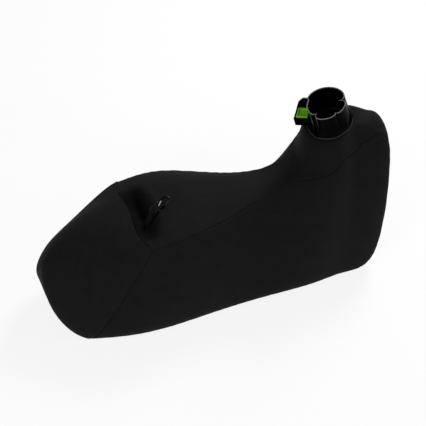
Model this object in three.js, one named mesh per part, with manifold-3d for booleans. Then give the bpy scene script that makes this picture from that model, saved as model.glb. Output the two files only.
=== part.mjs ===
// Leaf-collection bag of a hand-held blower-vacuum: a sewn fabric sack that is closed to a stiff
// inlet collar, with a latch that locks the collar on the blower's outlet, a snap hook on a
// webbing tab that carries the sack's weight, and a zip in the rear face for emptying it.
// Millimetres. +Z up, +X from the nose of the bag to its rear, the left side panel on -Y.
// The origin is on the underside, which rests on the ground.
import * as THREE from 'three';
import { mergeVertices } from 'three/addons/utils/BufferGeometryUtils.js';
import Module from 'manifold-3d';

const wasm = await Module();
wasm.setup();

// ---------------------------------------------------------------- driving dimensions: the sack
const FABRIC = 2.4;                 // coated fabric with its lining and seam allowance
const SEAM_GAP = 0.3;               // between two panels at a seam
const SEAT_GAP = 0.3;               // between a hard piece and what it sits on

// The sack's main sizes: the ridge at the rear seam, the widest half width, and where the sewn
// length starts and ends along the floor and along the ridge.
const SACK_HEIGHT = 434;
const SACK_HALF_WIDTH = 180;
const FLOOR_FRONT_X = -378;
const FLOOR_REAR_X = 303;
const RIDGE_FRONT_X = -204;
const RIDGE_REAR_X = 358;

// Six sewn cross-sections, from the nose seam to the rear, as shares of the main sizes.
const RIDGE_HEIGHT = [0.716, 0.756, 0.708, 0.737, 0.942, 1].map((share) => share * SACK_HEIGHT);
const GUSSET_CROWN = [0.067, 0.086, 0.051, 0.015, 0.078, 0.057].map((share) => share * SACK_HEIGHT);
const GUSSET_HALF_WIDTH = [0.745, 0.701, 0.401, 0.268, 0.546, 0.253].map((share) => share * SACK_HALF_WIDTH);
const SIDE_HALF_WIDTH = [0.81, 1, 0.927, 0.839, 0.803, 0.717].map((share) => share * SACK_HALF_WIDTH);
const FLOOR_SPACING = [0, 0.2, 0.43, 0.66, 0.86, 1];
const RIDGE_SPACING = [0, 0.2, 0.45, 0.68, 0.86, 1];
const LAST = RIDGE_HEIGHT.length - 1;

// How a side panel swells out below its top seam and tucks in under the sack, as shares.
const SHOULDER = 0.637;
const SHOULDER_DROP = 0.219;
const TUCK = 0.642;

// Rounded ends: depth, roundness and lift, the flat that the rear ends in, and the share of the
// nose over which the corner at the gusset seam fades out.
const NOSE = { depth: 168, power: 1.583, lift: 0.287, flat: 1, slit: 0, fade: 0.667 };
const REAR = { depth: 93, power: 3.67, lift: 0, flat: 0.95, slit: 40, fade: 0 };
const END_CENTRE = 0.493;           // height share at which both ends close
const NOSE_TOP_FULLNESS = 1.177;    // fullness of the cornerless section, in side half widths
const NOSE_SIDE_FULLNESS = 1.25;

// The groove that the nose seam pulls into the top, and its width before and behind the seam.
const GROOVE_DEPTH = 38;
const GROOVE_FRONT_WIDTH = 36;
const GROOVE_BACK_WIDTH = 34;
const GROOVE_FADE = 2.5;            // how fast it runs out towards the gusset seams

// ---------------------------------------------------------------- driving dimensions: the collar
const SEAT = new THREE.Vector3(RIDGE_REAR_X - 69, 0, SACK_HEIGHT - -4);
const SEAT_TILT = THREE.MathUtils.degToRad(14);       // the collar leans towards the nose
const LATCH_AZIMUTH = THREE.MathUtils.degToRad(146);  // the latch faces forward and right
const SEAT_FLAT_RADIUS = 70;        // the cloth lies flat under the collar,
const SEAT_BLEND_RADIUS = 110;      // and meets the sack's own shape by this radius
const SEAT_BLEND_DEPTH = 110;
const SEAT_FLAT_GIRTH = 0.8;        // share of the way to the gusset seam

const BORE_RADIUS = 46;
const COLLAR_HEIGHT = 67.4;
const COLLAR_WALL = 3;
const FLANGE_THICKNESS = 4;
const BASE_APOTHEM = 55.5;
const BASE_FACET_SHARE = 0.6;
const GASKET_THICKNESS = 2;
const CLAMP_THICKNESS = 4;
const CLAMP_RADIUS = 57;
const SCREW_COUNT = 6;
const SCREW_CIRCLE = 52;
const SCREW_RADIUS = 2;
const SCREW_HOLE_RADIUS = 2.3;
const SCREW_HEAD_RADIUS = 4;
const SCREW_HEAD_HEIGHT = 2.5;
const SCREW_BITE = 3;
const BORE_SIDES = 40;
const HOLE_SIDES = 12;
const SEAT_CUT = 20;                // how far the cutters for the fabric's holes reach

// Lobes of the collar's mouth: each runs from its own cusp to the next one's.
const LOBES = [
  { from: -18, cusp: 50, crest: 46, steps: 10 },
  { from: 68, cusp: 35, crest: 53, steps: 10 },
  { from: 139, cusp: 45, crest: 54, steps: 8 },
  { from: 198, cusp: 37, crest: 57, steps: 18 },
];
const FULL_TURN = 360;
const BASE_CORNER = 45;             // degrees from one flat of the collar's foot to the next
const FLUTE_START = 6;
const FLUTE_END = 48;
const LATCH_WALL_START = 2;
const LATCH_WALL_END = 10;
const LATCH_WALL_SOFT_EDGE = 8;     // degrees past the two cusps of the latch's lobe

// ---------------------------------------------------------------- driving dimensions: the latch
const BUTTON_WIDTH = 30;
const BUTTON_INNER_X = 48.5;
const BUTTON_OUTER_X = 78;
const BUTTON_BOTTOM = 24.5;
const BUTTON_TOP = 37;
const DIMPLE_DEPTH = 4;
const DIMPLE_RIM = 4;
const PAWL_REACH = 7.5;
const PAWL_HALF_WIDTH = 6;
const PAWL_BOTTOM = 28.5;
const PAWL_TOP = 33.5;
const WINDOW_CLEARANCE = 1.2;
const WINDOW_LIFT = 5;              // the pawl rises as it draws back
const TRAY_CLEARANCE = 2.2;         // beside the button
const TRAY_OUTER_X = 84;
const TRAY_WALL = 2;
const TRAY_BOTTOM = 9.5;
const TRAY_FLOOR = 3;
const TRAY_TOP = 24;
const ROOT_X = BORE_RADIUS - 2;     // the housing starts inside the collar's wall and is cut to it
const CHEEK = 3;                    // wall beside the far edge of the button
const CHEEK_PROFILE = [[50, 70], [61, 69], [75, 56], [84, 35]];
const PIVOT_X = 56;
const PIVOT_Z = 17;
const LEG_HALF = 6;
const LEG_BOTTOM = 14.2;
const PIN_RADIUS = 1.5;
const PIN_CLEARANCE = 0.3;
const PIN_BITE = 1.4;
const SPRING_X = 72;
const SPRING_RADIUS = 4;
const SPRING_WIRE = 0.6;
const SPRING_TURNS = 5;
const SPRING_SIDES = 8;

// ---------------------------------------------------------------- driving dimensions: the hook
const HOOK_PIVOT = new THREE.Vector3(RIDGE_FRONT_X + 16, -40, RIDGE_HEIGHT[0] + 8);
const HOOK_RAISE = THREE.MathUtils.degToRad(45);
const HOOK_THICKNESS = 6.5;
const HOOK_WIDTH = 30;
const HOOK_BAR = 5;
const HOOK_SLOT = 5;
const HOOK_RAIL = 3.5;
const HOOK_NECK = 6.5;
const HOOK_FRAME_REACH = 8;         // how far the frame runs into the ring, and how it narrows
const HOOK_FRAME_TAPER = 2.5;
const HOOK_RING_LENGTH = 44;
const HOOK_RING_WALL_END = 7;
const HOOK_RING_WALL_SIDE = 6;
const GATE_START = 12;              // from the ring's root to the gate's pin
const GATE_LENGTH = 17;
const GATE_THICKNESS = 2.9;
const GATE_CLEARANCE = 0.4;
const GATE_TIP_CLEARANCE = 0.9;     // the gate's outer corner swings past the ring's end
const GATE_EYE_RADIUS = 3.2;
const GATE_PIN_RADIUS = 0.9;
const LEAF_THICKNESS = 0.6;
const LEAF_WIDTH = 2.5;
const LEAF_ROOT = [1.2, 1.5];       // from the hole's end and from the middle line
const LEAF_REACH = 0.45;            // share of the gate's length at which it bears on the gate

const WEBBING = 1.9;
const WEBBING_WIDTH = 21;
const WEBBING_BORE = 4.3;
const WEBBING_TAIL = 12;            // how far the cutter finds it below the groove's surface
const GROOVE_CUT = 60;
const WEBBING_FOOT = new THREE.Vector2(-19.5, -41);  // from the hook's bar down to the nose seam

// ---------------------------------------------------------------- driving dimensions: the zip
const ZIP_OPENING_HALF = 7;
const ZIP_LENGTH = 204;
const TAPE = 1.2;
const TAPE_INNER_Y = 2.5;
const TAPE_OUTER_Y = 17;
const TOOTH_PITCH = 4;
const TOOTH_INNER_Y = 0.9;
const TOOTH_ROOT_Y = 2.6;
const TOOTH_OUTER_Y = 3.6;
const TOOTH_HEIGHT = 2.2;
const STOP_LENGTH = 5;
const STOP_PROUD = 1.4;
const SLIDER_LENGTH = 14;
const SLIDER_HALF_WIDTH = 6;
const SLIDER_PLATE = 1.8;
const SLIDER_POST_HALF = 0.5;
const SLIDER_POST_START = 2;
const RUNNING_GAP = 0.5;
const BAIL_HALF_LENGTH = 5;
const BAIL_HEIGHT = 4.6;
const BAIL_WALL = 2;
const BAIL_HALF_WIDTH = 1.5;
const PULL_LENGTH = 32;
const PULL_HALF_WIDTH = 4.5;
const PULL_THICKNESS = 1.6;
const PULL_CORNER = 3;
const PULL_BAR = 0.8;

// ---------------------------------------------------------------- materials
function finish(color, roughness, metalness = 0) {
  return new THREE.MeshStandardMaterial({ color, roughness, metalness });
}

const fabricFinish = finish(0x17171a, 0.85);
const glossFinish = finish(0x0b0b0c, 0.18);
const limeFinish = finish(0x7ed321, 0.35);
const webbingFinish = finish(0x121214, 0.9);
const rubberFinish = finish(0x1a1a1a, 0.8);
const steelFinish = finish(0x9a9a9e, 0.35, 1);
const zincFinish = finish(0x2a2a2c, 0.4, 0.8);
const plasticFinish = finish(0x202022, 0.5);

// ---------------------------------------------------------------- solids
const model = new THREE.Group();

function addMesh(name, geometry, material, parent = model) {
  const mesh = new THREE.Mesh(geometry, material);
  mesh.name = name;
  parent.add(mesh);
  return mesh;
}

function welded(geometry) {
  const bare = geometry.clone();
  bare.deleteAttribute('normal');
  bare.deleteAttribute('uv');
  return mergeVertices(bare, 1e-4);
}

// A closed mesh without the triangles that fold to nothing where a patch narrows to a point.
function closedGeometry(positions, triangles) {
  const raw = new THREE.BufferGeometry();
  raw.setAttribute('position', new THREE.Float32BufferAttribute(positions, 3));
  raw.setIndex(triangles);
  const merged = mergeVertices(raw, 1e-4);
  const kept = [];
  const index = merged.index.array;
  for (let i = 0; i < index.length; i += 3) {
    const [a, b, c] = [index[i], index[i + 1], index[i + 2]];
    if (a !== b && b !== c && c !== a) kept.push(a, b, c);
  }
  merged.setIndex(kept);
  return merged;
}

function solid(geometry) {
  const shared = geometry.index && !geometry.attributes.normal ? geometry : welded(geometry);
  const vertProperties = new Float32Array(shared.attributes.position.array);
  const triVerts = new Uint32Array(shared.index.array);
  return new wasm.Manifold(new wasm.Mesh({ numProp: 3, vertProperties, triVerts }));
}

function geometryOf(manifold) {
  const mesh = manifold.getMesh();
  const geometry = new THREE.BufferGeometry();
  geometry.setAttribute('position', new THREE.Float32BufferAttribute(mesh.vertProperties, 3));
  geometry.setIndex(Array.from(mesh.triVerts));
  return geometry;
}

function box(x0, x1, y0, y1, z0, z1) {
  const geometry = new THREE.BoxGeometry(x1 - x0, y1 - y0, z1 - z0);
  return geometry.translate((x0 + x1) / 2, (y0 + y1) / 2, (z0 + z1) / 2);
}

// A round bar along Z from z0 to z1.
function rod(x, y, z0, z1, radius, sides = 16) {
  const geometry = new THREE.CylinderGeometry(radius, radius, z1 - z0, sides);
  return geometry.rotateX(Math.PI / 2).translate(x, y, (z0 + z1) / 2);
}

// A round bar along Y from y0 to y1.
function crossRod(x, z, y0, y1, radius, sides = 16) {
  const geometry = new THREE.CylinderGeometry(radius, radius, y1 - y0, sides);
  return geometry.translate(x, (y0 + y1) / 2, z);
}

function extruded(shape, z0, z1, curveSegments = 12) {
  const geometry = new THREE.ExtrudeGeometry(shape, { depth: z1 - z0, bevelEnabled: false, curveSegments });
  return geometry.translate(0, 0, z0);
}

function circle(x, y, radius, sides) {
  return Array.from({ length: sides }, (_, k) => {
    const turn = 2 * Math.PI * k / sides;
    return new THREE.Vector2(x + radius * Math.cos(turn), y + radius * Math.sin(turn));
  });
}

// A flat ring with the screws' holes through it, about Z.
function flange(inner, outer, z0, z1) {
  const shape = new THREE.Shape(circle(0, 0, outer, BORE_SIDES));
  shape.holes.push(new THREE.Path(circle(0, 0, inner, BORE_SIDES)));
  for (let k = 0; k < SCREW_COUNT; k++) {
    shape.holes.push(new THREE.Path(circle(...screwPlace(k), SCREW_HOLE_RADIUS, HOLE_SIDES)));
  }
  return extruded(shape, z0, z1);
}

function screwPlace(k) {
  const angle = 2 * Math.PI * (k + 0.5) / SCREW_COUNT;
  return [SCREW_CIRCLE * Math.cos(angle), SCREW_CIRCLE * Math.sin(angle)];
}

// ---------------------------------------------------------------- the sack's outer surface
const { lerp, clamp, smoothstep } = THREE.MathUtils;

// A cubic spline through values at 0, 1, 2 and so on, without bend at its start. At its end it
// either levels out, to run on into the rounded rear, or is without bend too.
function spline(values, levelEnd) {
  const n = values.length;
  const bend = new Array(n).fill(0);
  const carry = new Array(n).fill(0);
  for (let i = 1; i < n - 1; i++) {
    const pivot = 4 - carry[i - 1];
    carry[i] = 1 / pivot;
    bend[i] = (6 * (values[i + 1] - 2 * values[i] + values[i - 1]) - bend[i - 1]) / pivot;
  }
  const lastRise = values[n - 1] - values[n - 2];
  if (levelEnd) bend[n - 1] = (-6 * lastRise - bend[n - 2]) / (2 - carry[n - 2]);
  for (let i = n - 2; i > 0; i--) bend[i] -= carry[i] * bend[i + 1];
  return (s) => {
    const i = clamp(Math.floor(s), 0, n - 2);
    const t = s - i;
    const r = 1 - t;
    return r * values[i] + t * values[i + 1]
      + ((r ** 3 - r) * bend[i] + (t ** 3 - t) * bend[i + 1]) / 6;
  };
}

const ridgeHeight = spline(RIDGE_HEIGHT, true);
const gussetHalf = spline(GUSSET_HALF_WIDTH, true);
const sideHalf = spline(SIDE_HALF_WIDTH, true);
const gussetCrown = spline(GUSSET_CROWN, true);
const floorX = spline(FLOOR_SPACING.map((share) => lerp(FLOOR_FRONT_X, FLOOR_REAR_X, share)), false);
const ridgeX = spline(RIDGE_SPACING.map((share) => lerp(RIDGE_FRONT_X, RIDGE_REAR_X, share)), false);

// Half of a cross-section. Girth 0 is the ridge, 1 the gusset seam, 2 the floor seam and 3 the
// middle of the floor.
function sectionPoint(s, girth) {
  const top = ridgeHeight(s);
  const gusset = gussetHalf(s);
  const side = sideHalf(s);
  const seam = top - gussetCrown(s);
  let y = 0;
  let z = 0;
  if (girth <= 1) {
    y = gusset * girth;
    z = top - gussetCrown(s) * girth ** 2;
  } else if (girth <= 2) {
    const t = girth - 1;
    const r = 1 - t;
    const shoulder = lerp(gusset, side, SHOULDER);
    y = r ** 3 * gusset + 3 * r * r * t * shoulder + 3 * r * t * t * side + t ** 3 * TUCK * side;
    z = r ** 3 * seam + 3 * r * r * t * seam * (1 - SHOULDER_DROP);
  } else {
    y = TUCK * side * (3 - girth);
  }
  return new THREE.Vector3(lerp(floorX(s), ridgeX(s), z / top), y, z);
}

// The same place on a section whose top and side are one even curve, without a corner.
function evenSectionPoint(s, girth) {
  if (girth > 2) return sectionPoint(s, girth);
  const t = girth <= 1 ? girth / 3 : (2 * girth - 1) / 3;
  const r = 1 - t;
  const side = sideHalf(s);
  const fullness = 3 * r * r * t * NOSE_TOP_FULLNESS + 3 * r * t * t * NOSE_SIDE_FULLNESS + t ** 3 * TUCK;
  const share = r ** 3 + 3 * r * r * t;
  return new THREE.Vector3(lerp(floorX(s), ridgeX(s), share), fullness * side, share * ridgeHeight(s));
}

function capCentre(s) {
  const z = ridgeHeight(s) * END_CENTRE;
  return new THREE.Vector3(lerp(floorX(s), ridgeX(s), END_CENTRE), 0, z);
}

function capShrink(turn, end) {
  return Math.max(Math.cos(turn * Math.PI / 2), 0) ** (2 / end.power);
}

function capReach(turn, end) {
  return end.depth * Math.min(Math.sin(turn * Math.PI / 2) ** (2 / end.power), end.flat);
}

// A point of the nose or of the rear: the end section drawn in towards its centre and pushed out.
function capPoint(s, girth, turn, end, outward) {
  const point = sectionPoint(s, girth);
  if (end.fade > 0) point.lerp(evenSectionPoint(s, girth), smoothstep(turn, 0, end.fade));
  const centre = capCentre(s);
  const shrink = capShrink(turn, end);
  const reach = capReach(turn, end);
  const slitY = end.slit * (girth <= 1 ? girth : Math.min(1, 3 - girth));
  return new THREE.Vector3(
    lerp(centre.x, point.x, shrink) + outward * reach,
    lerp(slitY, point.y, shrink),
    Math.max(lerp(centre.z, point.z, shrink) + end.lift * reach, 0),
  );
}

const seatNormal = new THREE.Vector3(-Math.sin(SEAT_TILT), 0, Math.cos(SEAT_TILT));

// The sack's outer surface. Along: -1 to 0 the nose, 0 to 5 the sewn length, 5 to 6 the rear.
// Girth: 0 the ridge to 3 the middle of the floor, negative on the left.
function skin(along, girth) {
  const half = Math.abs(girth);
  let point;
  if (along < 0) point = capPoint(0, half, -along, NOSE, -1);
  else if (along > LAST) point = capPoint(LAST, half, along - LAST, REAR, 1);
  else point = sectionPoint(along, half);
  const offset = point.x - sectionPoint(0, half).x;
  const reach = Math.abs(offset) / (offset < 0 ? GROOVE_FRONT_WIDTH : GROOVE_BACK_WIDTH);
  if (half < 1 && along < 2 && reach < 1) {
    point.z -= GROOVE_DEPTH * (1 - half ** 2) ** GROOVE_FADE * Math.cos(Math.PI / 2 * reach) ** 2;
  }
  if (girth < 0) point.y = -point.y;
  const fromSeat = point.clone().sub(SEAT);
  const height = fromSeat.dot(seatNormal);
  if (Math.abs(height) < SEAT_BLEND_DEPTH && half < 1) {
    const radius = Math.sqrt(Math.max(fromSeat.lengthSq() - height ** 2, 0));
    const weight = 1 - smoothstep(radius, SEAT_FLAT_RADIUS, SEAT_BLEND_RADIUS);
    const hold = 1 - smoothstep(half, SEAT_FLAT_GIRTH, 1);
    point.addScaledVector(seatNormal, -weight * hold * height);
  }
  return point;
}

const rearLean = Math.atan2(RIDGE_REAR_X - FLOOR_REAR_X, RIDGE_HEIGHT[LAST]);
const rearNormal = new THREE.Vector3(Math.cos(rearLean), 0, -Math.sin(rearLean));
const noseLean = Math.atan2(RIDGE_FRONT_X - FLOOR_FRONT_X, RIDGE_HEIGHT[0]);
const noseNormal = new THREE.Vector3(-Math.cos(noseLean), 0, Math.sin(noseLean));

// Where the rear becomes one flat face.
const REAR_FLAT = LAST + Math.asin(REAR.flat ** (REAR.power / 2)) * 2 / Math.PI + 0.012;

// The outward direction that both panels share at a seam, so that their edges stay parallel.
function skinNormal(along, girth) {
  const step = 0.012;
  if (along <= -1 + step) return noseNormal.clone();
  if (along >= REAR_FLAT - 1e-6) return rearNormal.clone();
  const lengthwise = skin(along + step, girth).sub(skin(along - step, girth));
  let around = skin(along, girth + step).sub(skin(along, girth - step));
  if (Math.abs(girth) > 3 - step) around = new THREE.Vector3(0, -1, 0);
  return lengthwise.cross(around).normalize();
}

// ---------------------------------------------------------------- panels cut from the surface
// Rows and columns that neighbouring panels share.
const NOSE_ROWS = [-1, -0.86, -0.7, -0.55, -0.42, -0.3, -0.2, -0.14, -0.115, -0.093, -0.068, -0.04, 0];
const GROOVE_ROWS = [0, 0.045, 0.09, 0.14, 0.19, 0.25, 0.32];
const LENGTH_ROWS = [0.5, 0.75, 1, 1.33, 1.67, 2, 2.33, 2.67, 3, 3.2, 3.35];
const COLLAR_ROWS = [3.47, 3.58, 3.69, 3.8, 3.9, 4, 4.1, 4.2, 4.3, 4.4, 4.5, 4.6, 4.7, 4.8, 4.9];
const REAR_ROWS = [5, 5.04, 5.1, 5.18, 5.28, 5.4, 5.53, 5.66, REAR_FLAT];
const BODY_ROWS = [...GROOVE_ROWS, ...LENGTH_ROWS, ...COLLAR_ROWS, ...REAR_ROWS];
const GUSSET_COLUMNS = [0, 0.17, 0.34, 0.5, 0.66, 0.8, 0.92, 1];
const SIDE_COLUMNS = [1, 1.1, 1.25, 1.45, 1.65, 1.85, 2];
const SIDE_PANEL_TIP = LAST + 0.9995;                 // just short of the line that closes the rear

const mirrored = (columns) => [...columns.slice(1).reverse().map((girth) => -girth), ...columns];

// A fabric panel over a grid of surface places, closed by an inner face one fabric below.
// A free edge is drawn in by half the seam gap; a closed grid has none along its columns.
function panel(rows, columns, place, { closed = false, pointed = false } = {}) {
  const outer = [];
  const normals = [];
  for (const row of rows) {
    outer.push(columns.map((column) => skin(...place(row, column))));
    normals.push(columns.map((column) => skinNormal(...place(row, column))));
  }
  const lastRow = rows.length - 1;
  const lastColumn = columns.length - 1;
  const wrap = (j) => (closed ? (j + columns.length - 1) % (columns.length - 1) : clamp(j, 0, lastColumn));
  const drawnIn = outer.map((line, i) => line.map((point, j) => {
    const moved = point.clone();
    const inward = (seamA, seamB, sign) => {
      const seam = seamA.clone().sub(seamB).normalize();
      return seam.cross(normals[i][j]).normalize().multiplyScalar(sign * SEAM_GAP / 2);
    };
    const alongColumn = [outer[Math.min(i + 1, lastRow)][j], outer[Math.max(i - 1, 0)][j]];
    const alongRow = [outer[i][wrap(j + 1)], outer[i][wrap(j - 1)]];
    if (!pointed && i === 0) moved.add(inward(...alongRow, 1));
    if (i === lastRow) moved.add(inward(...alongRow, -1));
    if (!closed && j === 0) moved.add(inward(...alongColumn, -1));
    if (!closed && j === lastColumn) moved.add(inward(...alongColumn, 1));
    moved.z = Math.max(moved.z, 0);
    return moved;
  }));
  return shell(drawnIn, normals, 0, -FABRIC, { closed, pointed });
}

// A closed solid between two offsets of a grid.
function shell(grid, normals, high, low, { closed = false, pointed = false } = {}) {
  const positions = [];
  const triangles = [];
  const rows = grid.length;
  const columns = grid[0].length;
  const edge = columns - 1;
  for (const offset of [high, low]) {
    grid.forEach((line, i) => line.forEach((point, j) => {
      positions.push(...point.clone().addScaledVector(normals[i][j], offset).toArray());
    }));
  }
  const at = (layer, i, j) => layer * rows * columns + i * columns + j;
  const quad = (a, b, c, d) => triangles.push(a, b, c, a, c, d);
  for (let i = 0; i < rows - 1; i++) {
    for (let j = 0; j < columns - 1; j++) {
      quad(at(0, i, j), at(0, i + 1, j), at(0, i + 1, j + 1), at(0, i, j + 1));
      quad(at(1, i, j), at(1, i, j + 1), at(1, i + 1, j + 1), at(1, i + 1, j));
    }
  }
  for (let j = 0; j < columns - 1; j++) {
    if (!pointed) quad(at(0, 0, j + 1), at(1, 0, j + 1), at(1, 0, j), at(0, 0, j));
    quad(at(0, rows - 1, j + 1), at(0, rows - 1, j), at(1, rows - 1, j), at(1, rows - 1, j + 1));
  }
  if (!closed) {
    for (let i = 0; i < rows - 1; i++) {
      quad(at(0, i + 1, 0), at(0, i, 0), at(1, i, 0), at(1, i + 1, 0));
      quad(at(0, i + 1, edge), at(1, i + 1, edge), at(1, i, edge), at(0, i, edge));
    }
  }
  return closedGeometry(positions, triangles);
}

const straight = (along, girth) => [along, girth];

function nosePanel() {
  const columns = mirrored([...GUSSET_COLUMNS, ...SIDE_COLUMNS.slice(1), 3]);
  return panel(NOSE_ROWS, columns, straight, { closed: true, pointed: true });
}

function topPanel() {
  const cloth = solid(panel(BODY_ROWS, mirrored(GUSSET_COLUMNS), straight));
  let holes = solid(rod(0, 0, -SEAT_CUT, SEAT_CUT, BORE_RADIUS, BORE_SIDES));
  for (let k = 0; k < SCREW_COUNT; k++) {
    holes = holes.add(solid(rod(...screwPlace(k), -SEAT_CUT, SEAT_CUT, SCREW_HOLE_RADIUS, HOLE_SIDES)));
  }
  const placed = geometryOf(holes).applyMatrix4(collarMatrix);
  return geometryOf(cloth.subtract(solid(placed)));
}

function sidePanel(side) {
  const columns = SIDE_COLUMNS.map((girth) => side * girth);
  if (side < 0) columns.reverse();
  return panel([...BODY_ROWS, SIDE_PANEL_TIP], columns, straight);
}

function basePanel() {
  return panel(BODY_ROWS, [2, 3, -2], straight);
}

// One half of the rear face, from the zip's opening to the side panel. Its rows run from the
// top panel down to the line on which the rear closes, and on to the base panel.
function rearPanel(side) {
  const edge = REAR_FLAT;
  const rows = [edge - LAST, 1, 2 - (edge - LAST)];
  const zipGirth = (row, upper) => {
    const shrink = capShrink(upper ? row : 2 - row, REAR);
    const seamY = upper ? GUSSET_HALF_WIDTH[LAST] : TUCK * SIDE_HALF_WIDTH[LAST];
    return ZIP_OPENING_HALF / lerp(REAR.slit, seamY, shrink);
  };
  const place = (row, share) => {
    const upper = row <= 1;
    const girth = lerp(zipGirth(row, upper), 1, share);
    return [LAST + (upper ? row : 2 - row), side * (upper ? girth : 3 - girth)];
  };
  return panel(rows, side > 0 ? [0, 1] : [1, 0], place);
}

// ---------------------------------------------------------------- the collar
const collar = new THREE.Group();
collar.position.copy(SEAT);
collar.rotation.set(0, -SEAT_TILT, 0);
const turned = new THREE.Group();
turned.rotation.z = LATCH_AZIMUTH;
collar.add(turned);
model.add(collar);
model.updateMatrixWorld(true);
const collarMatrix = turned.matrixWorld.clone();

const gasketBottom = SEAT_GAP;
const tubeBottom = gasketBottom + GASKET_THICKNESS + SEAT_GAP;
const tubeTop = tubeBottom + COLLAR_HEIGHT;
const flangeTop = tubeBottom + FLANGE_THICKNESS;
const clampTop = -FABRIC - SEAT_GAP;
const clampBottom = clampTop - CLAMP_THICKNESS;

function lobeAngles() {
  const angles = [];
  LOBES.forEach((lobe, k) => {
    const next = LOBES[(k + 1) % LOBES.length];
    const to = next.from + (next === LOBES[0] ? FULL_TURN : 0);
    for (let step = 0; step < lobe.steps; step++) {
      const share = (1 - Math.cos(Math.PI * step / lobe.steps)) / 2;
      angles.push({ degrees: lerp(lobe.from, to, share), share, lobe, next });
    }
  });
  return angles;
}

function mouthRadius({ share, lobe, next }) {
  const floor = lerp(lobe.cusp, next.cusp, share);
  return floor + (lobe.crest - floor) * Math.sqrt(1 - Math.abs(2 * share - 1) ** 4);
}

function baseRadius(degrees) {
  const half = BASE_CORNER / 2;
  const fromFlat = THREE.MathUtils.euclideanModulo(degrees + half, BASE_CORNER) - half;
  const flat = 1 / Math.cos(THREE.MathUtils.degToRad(fromFlat));
  return BASE_APOTHEM * lerp(1, flat, BASE_FACET_SHARE);
}

function tubeRadius(angle, z) {
  const soft = LATCH_WALL_SOFT_EDGE;
  const before = smoothstep(angle.degrees, LOBES[0].from - soft, LOBES[0].from);
  const beyond = 1 - smoothstep(angle.degrees, LOBES[1].from, LOBES[1].from + soft);
  const around = smoothstep(angle.degrees, LOBES[0].from + FULL_TURN - soft, LOBES[0].from + FULL_TURN);
  const wall = Math.max(before * beyond, around);
  const start = lerp(FLUTE_START, LATCH_WALL_START, wall);
  const share = smoothstep(z, start, lerp(FLUTE_END, LATCH_WALL_END, wall));
  return lerp(baseRadius(angle.degrees), mouthRadius(angle), share);
}

// The collar's outside, moved out by grow, from z0 to z1, with the same rings between.
function tubeBody(grow, z0, z1) {
  const angles = lobeAngles();
  const between = LEVELS.map((level) => lerp(tubeBottom, tubeTop, level)).filter((z) => z > z0 && z < z1);
  const rings = [z0, ...between, z1].map((z) => {
    return angles.map((angle) => {
      const radius = tubeRadius(angle, z - tubeBottom) + grow;
      const turn = THREE.MathUtils.degToRad(angle.degrees);
      return new THREE.Vector3(radius * Math.cos(turn), radius * Math.sin(turn), z);
    });
  });
  return loft(rings);
}

// A closed solid through rings of points that run anticlockwise, bottom ring first.
function loft(rings) {
  const count = rings[0].length;
  const positions = rings.flat().flatMap((point) => point.toArray());
  const triangles = [];
  for (let i = 0; i < rings.length - 1; i++) {
    for (let j = 0; j < count; j++) {
      const [a, b] = [i * count + j, i * count + (j + 1) % count];
      triangles.push(a, b, b + count, a, b + count, a + count);
    }
  }
  const last = (rings.length - 1) * count;
  const middles = [rings[0], rings[rings.length - 1]].map((ring) => {
    positions.push(0, 0, ring[0].z);
    return positions.length / 3 - 1;
  });
  for (let j = 0; j < count; j++) {
    const next = (j + 1) % count;
    triangles.push(middles[0], next, j, middles[1], last + j, last + next);
  }
  return closedGeometry(positions, triangles);
}

const LEVELS = [0, 0.035, 0.07, 0.11, 0.16, 0.24, 0.34, 0.44, 0.54, 0.64, 0.76, 1];

function collarTube() {
  const outside = solid(tubeBody(0, tubeBottom, tubeTop));
  const inside = solid(tubeBody(-COLLAR_WALL, flangeTop, tubeTop + 1));
  let cut = inside.add(solid(rod(0, 0, tubeBottom - 1, flangeTop + 1, BORE_RADIUS, BORE_SIDES)));
  const holeTop = tubeBottom + SCREW_BITE + SEAT_GAP;
  for (let k = 0; k < SCREW_COUNT; k++) {
    cut = cut.add(solid(rod(...screwPlace(k), tubeBottom - 1, holeTop, SCREW_HOLE_RADIUS, HOLE_SIDES)));
  }
  const window = box(BORE_RADIUS - 14, BUTTON_INNER_X + 4, -PAWL_HALF_WIDTH - WINDOW_CLEARANCE,
    PAWL_HALF_WIDTH + WINDOW_CLEARANCE, PAWL_BOTTOM - WINDOW_CLEARANCE, PAWL_TOP + WINDOW_LIFT);
  return geometryOf(outside.subtract(cut.add(solid(window))));
}

function clampScrew() {
  const headTop = clampBottom - SEAT_GAP;
  const shank = rod(0, 0, headTop - 0.5, tubeBottom + SCREW_BITE, SCREW_RADIUS, 10);
  const head = rod(0, 0, headTop - SCREW_HEAD_HEIGHT, headTop, SCREW_HEAD_RADIUS, 16);
  return geometryOf(solid(head).add(solid(shank)));
}

// ---------------------------------------------------------------- the latch
const trayNearY = BUTTON_WIDTH / 2 + TRAY_CLEARANCE;
const trayFarY = -BUTTON_WIDTH / 2 - TRAY_CLEARANCE + 1;
const trayOutside = trayNearY + TRAY_WALL;
const cheekOutside = trayFarY - CHEEK;
const floorTop = TRAY_BOTTOM + TRAY_FLOOR;

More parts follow.
